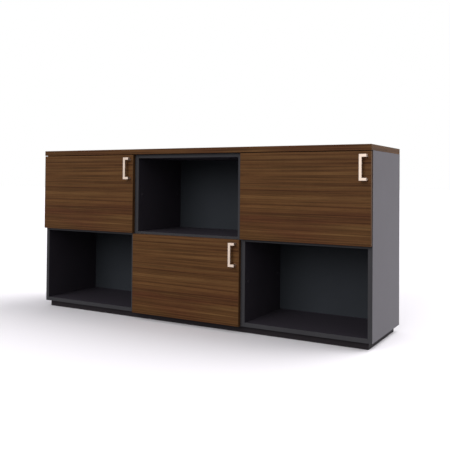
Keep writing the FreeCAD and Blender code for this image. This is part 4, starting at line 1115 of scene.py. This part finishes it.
def seen_directly(tree):
    """1 for what the camera sees, also in a mirror or through glass, and 0 for light on the object."""
    rays = add_node(tree, "LightPath").outputs
    seen = add_node(tree, "Math", {0: rays["Is Camera Ray"], 1: rays["Is Glossy Ray"]},
                    operation="MAXIMUM")
    return add_node(tree, "Math", {0: seen, 1: rays["Is Transmission Ray"]}, operation="MAXIMUM")


def lay_floor(studio):
    """A wide disc of paper, level with the underside of the plinth."""
    sheet = bmesh.new()
    bmesh.ops.create_circle(sheet, cap_ends=True, segments=96, radius=FLOOR_RADIUS)
    mesh = bpy.data.meshes.new("floor")
    sheet.to_mesh(mesh)
    sheet.free()
    floor = bpy.data.objects.new("floor", mesh)
    bpy.context.scene.collection.objects.link(floor)
    tree = new_material("studio_paper")
    white = tuple(channel * studio.floor_gain for channel in studio.floor[:3]) + (1.0,)
    paper = add_node(tree, "Mix", {"Factor": seen_directly(tree), "A": studio.bounce, "B": white},
                     data_type="RGBA")
    matt = add_node(tree, "BsdfDiffuse", {"Color": paper})
    add_node(tree, "OutputMaterial", {"Surface": matt})
    mesh.materials.append(bpy.data.materials["studio_paper"])


def light_studio(scene, studio):
    """Even light from all round, a broad lamp in front on the left and another on the right."""
    world = bpy.data.worlds.new("studio")
    world.use_nodes = True
    scene.world = world
    tree = world.node_tree
    tree.nodes.clear()
    strength = add_node(tree, "MapRange", {
        "Value": seen_directly(tree), "To Min": studio.sky, "To Max": 1.0})
    backdrop = add_node(tree, "Background", {"Color": studio.backdrop, "Strength": strength})
    add_node(tree, "OutputWorld", {"Surface": backdrop})
    add_sun("front_lamp", studio.front_lamp, from_azimuth=-98, elevation=24, spread=40)
    add_sun("side_lamp", studio.side_lamp, from_azimuth=42, elevation=50, spread=50)


def add_sun(name, brightness, from_azimuth, elevation, spread):
    """A distant soft lamp, with its angles in degrees; the azimuth counts from +X towards +Y, and a
    brightness of 1 shows colours as written."""
    lamp = bpy.data.lights.new(name, "SUN")
    lamp.energy = brightness * math.pi
    lamp.angle = math.radians(spread)
    holder = bpy.data.objects.new(name, lamp)
    azimuth, rise = math.radians(from_azimuth), math.radians(elevation)
    flat = math.cos(rise)
    source = Vector((flat * math.cos(azimuth), flat * math.sin(azimuth), math.sin(rise)))
    holder.rotation_euler = source.to_track_quat("Z", "Y").to_euler()
    bpy.context.scene.collection.objects.link(holder)


def make_camera():
    """The camera, to the right of the front and below the height of the worktop."""
    ahead = Vector((-math.sin(YAW) * math.cos(PITCH), math.cos(YAW) * math.cos(PITCH),
                    -math.sin(PITCH)))
    across = Vector((math.cos(YAW), math.sin(YAW), 0))
    upright = across.cross(ahead)
    right = math.cos(ROLL) * across + math.sin(ROLL) * upright
    above = -math.sin(ROLL) * across + math.cos(ROLL) * upright
    lens = bpy.data.cameras.new("camera")
    lens.sensor_width = 36
    lens.lens = FOCAL * lens.sensor_width / SIDE
    lens.shift_y = (PRINCIPAL_Y - SIDE / 2) / SIDE
    lens.clip_end = 200
    camera = bpy.data.objects.new("camera", lens)
    turn = Matrix((right, above, -ahead)).transposed().to_4x4()
    camera.matrix_world = Matrix.Translation(CAMERA_PLACE) @ turn
    bpy.context.scene.collection.objects.link(camera)
    return camera


# ---------------------------------------------------------------- add-on

class CREDENZA_PT_panel(bpy.types.Panel):
    """Lists the steps that finish the credenza"""

    bl_idname = "CREDENZA_PT_panel"
    bl_label = "Office Credenza"
    bl_space_type = "VIEW_3D"
    bl_region_type = "UI"
    bl_category = "Credenza"

    def draw(self, context):
        for name, group in GROUPS.items():
            box = self.layout.box()
            for key in group.__annotations__:
                box.prop(getattr(context.scene, name), key)
        for step in STEPS:
            self.layout.operator(step.bl_idname)


GROUPS = {"credenza_decors": CredenzaDecors, "credenza_trims": CredenzaTrims,
          "credenza_fittings": CredenzaFittings, "credenza_studio": CredenzaStudio}
STEPS = (CREDENZA_OT_decors, CREDENZA_OT_worktop, CREDENZA_OT_doors, CREDENZA_OT_cabinets,
         CREDENZA_OT_plinth, CREDENZA_OT_pulls, CREDENZA_OT_hinges, CREDENZA_OT_fasteners,
         CREDENZA_OT_bumpers, CREDENZA_OT_studio)


def register():
    """Registers the property groups, the operators and the panel."""
    for name, group in GROUPS.items():
        bpy.utils.register_class(group)
        setattr(bpy.types.Scene, name, bpy.props.PointerProperty(type=group))
    for step in STEPS:
        bpy.utils.register_class(step)
    bpy.utils.register_class(CREDENZA_PT_panel)


def unregister():
    """Removes what register added."""
    bpy.utils.unregister_class(CREDENZA_PT_panel)
    for step in reversed(STEPS):
        bpy.utils.unregister_class(step)
    for name, group in GROUPS.items():
        delattr(bpy.types.Scene, name)
        bpy.utils.unregister_class(group)


def main():
    """Runs every step."""
    register()
    for step in STEPS:
        area, name = step.bl_idname.split(".")
        getattr(getattr(bpy.ops, area), name)()


if __name__ == "__main__":
    main()
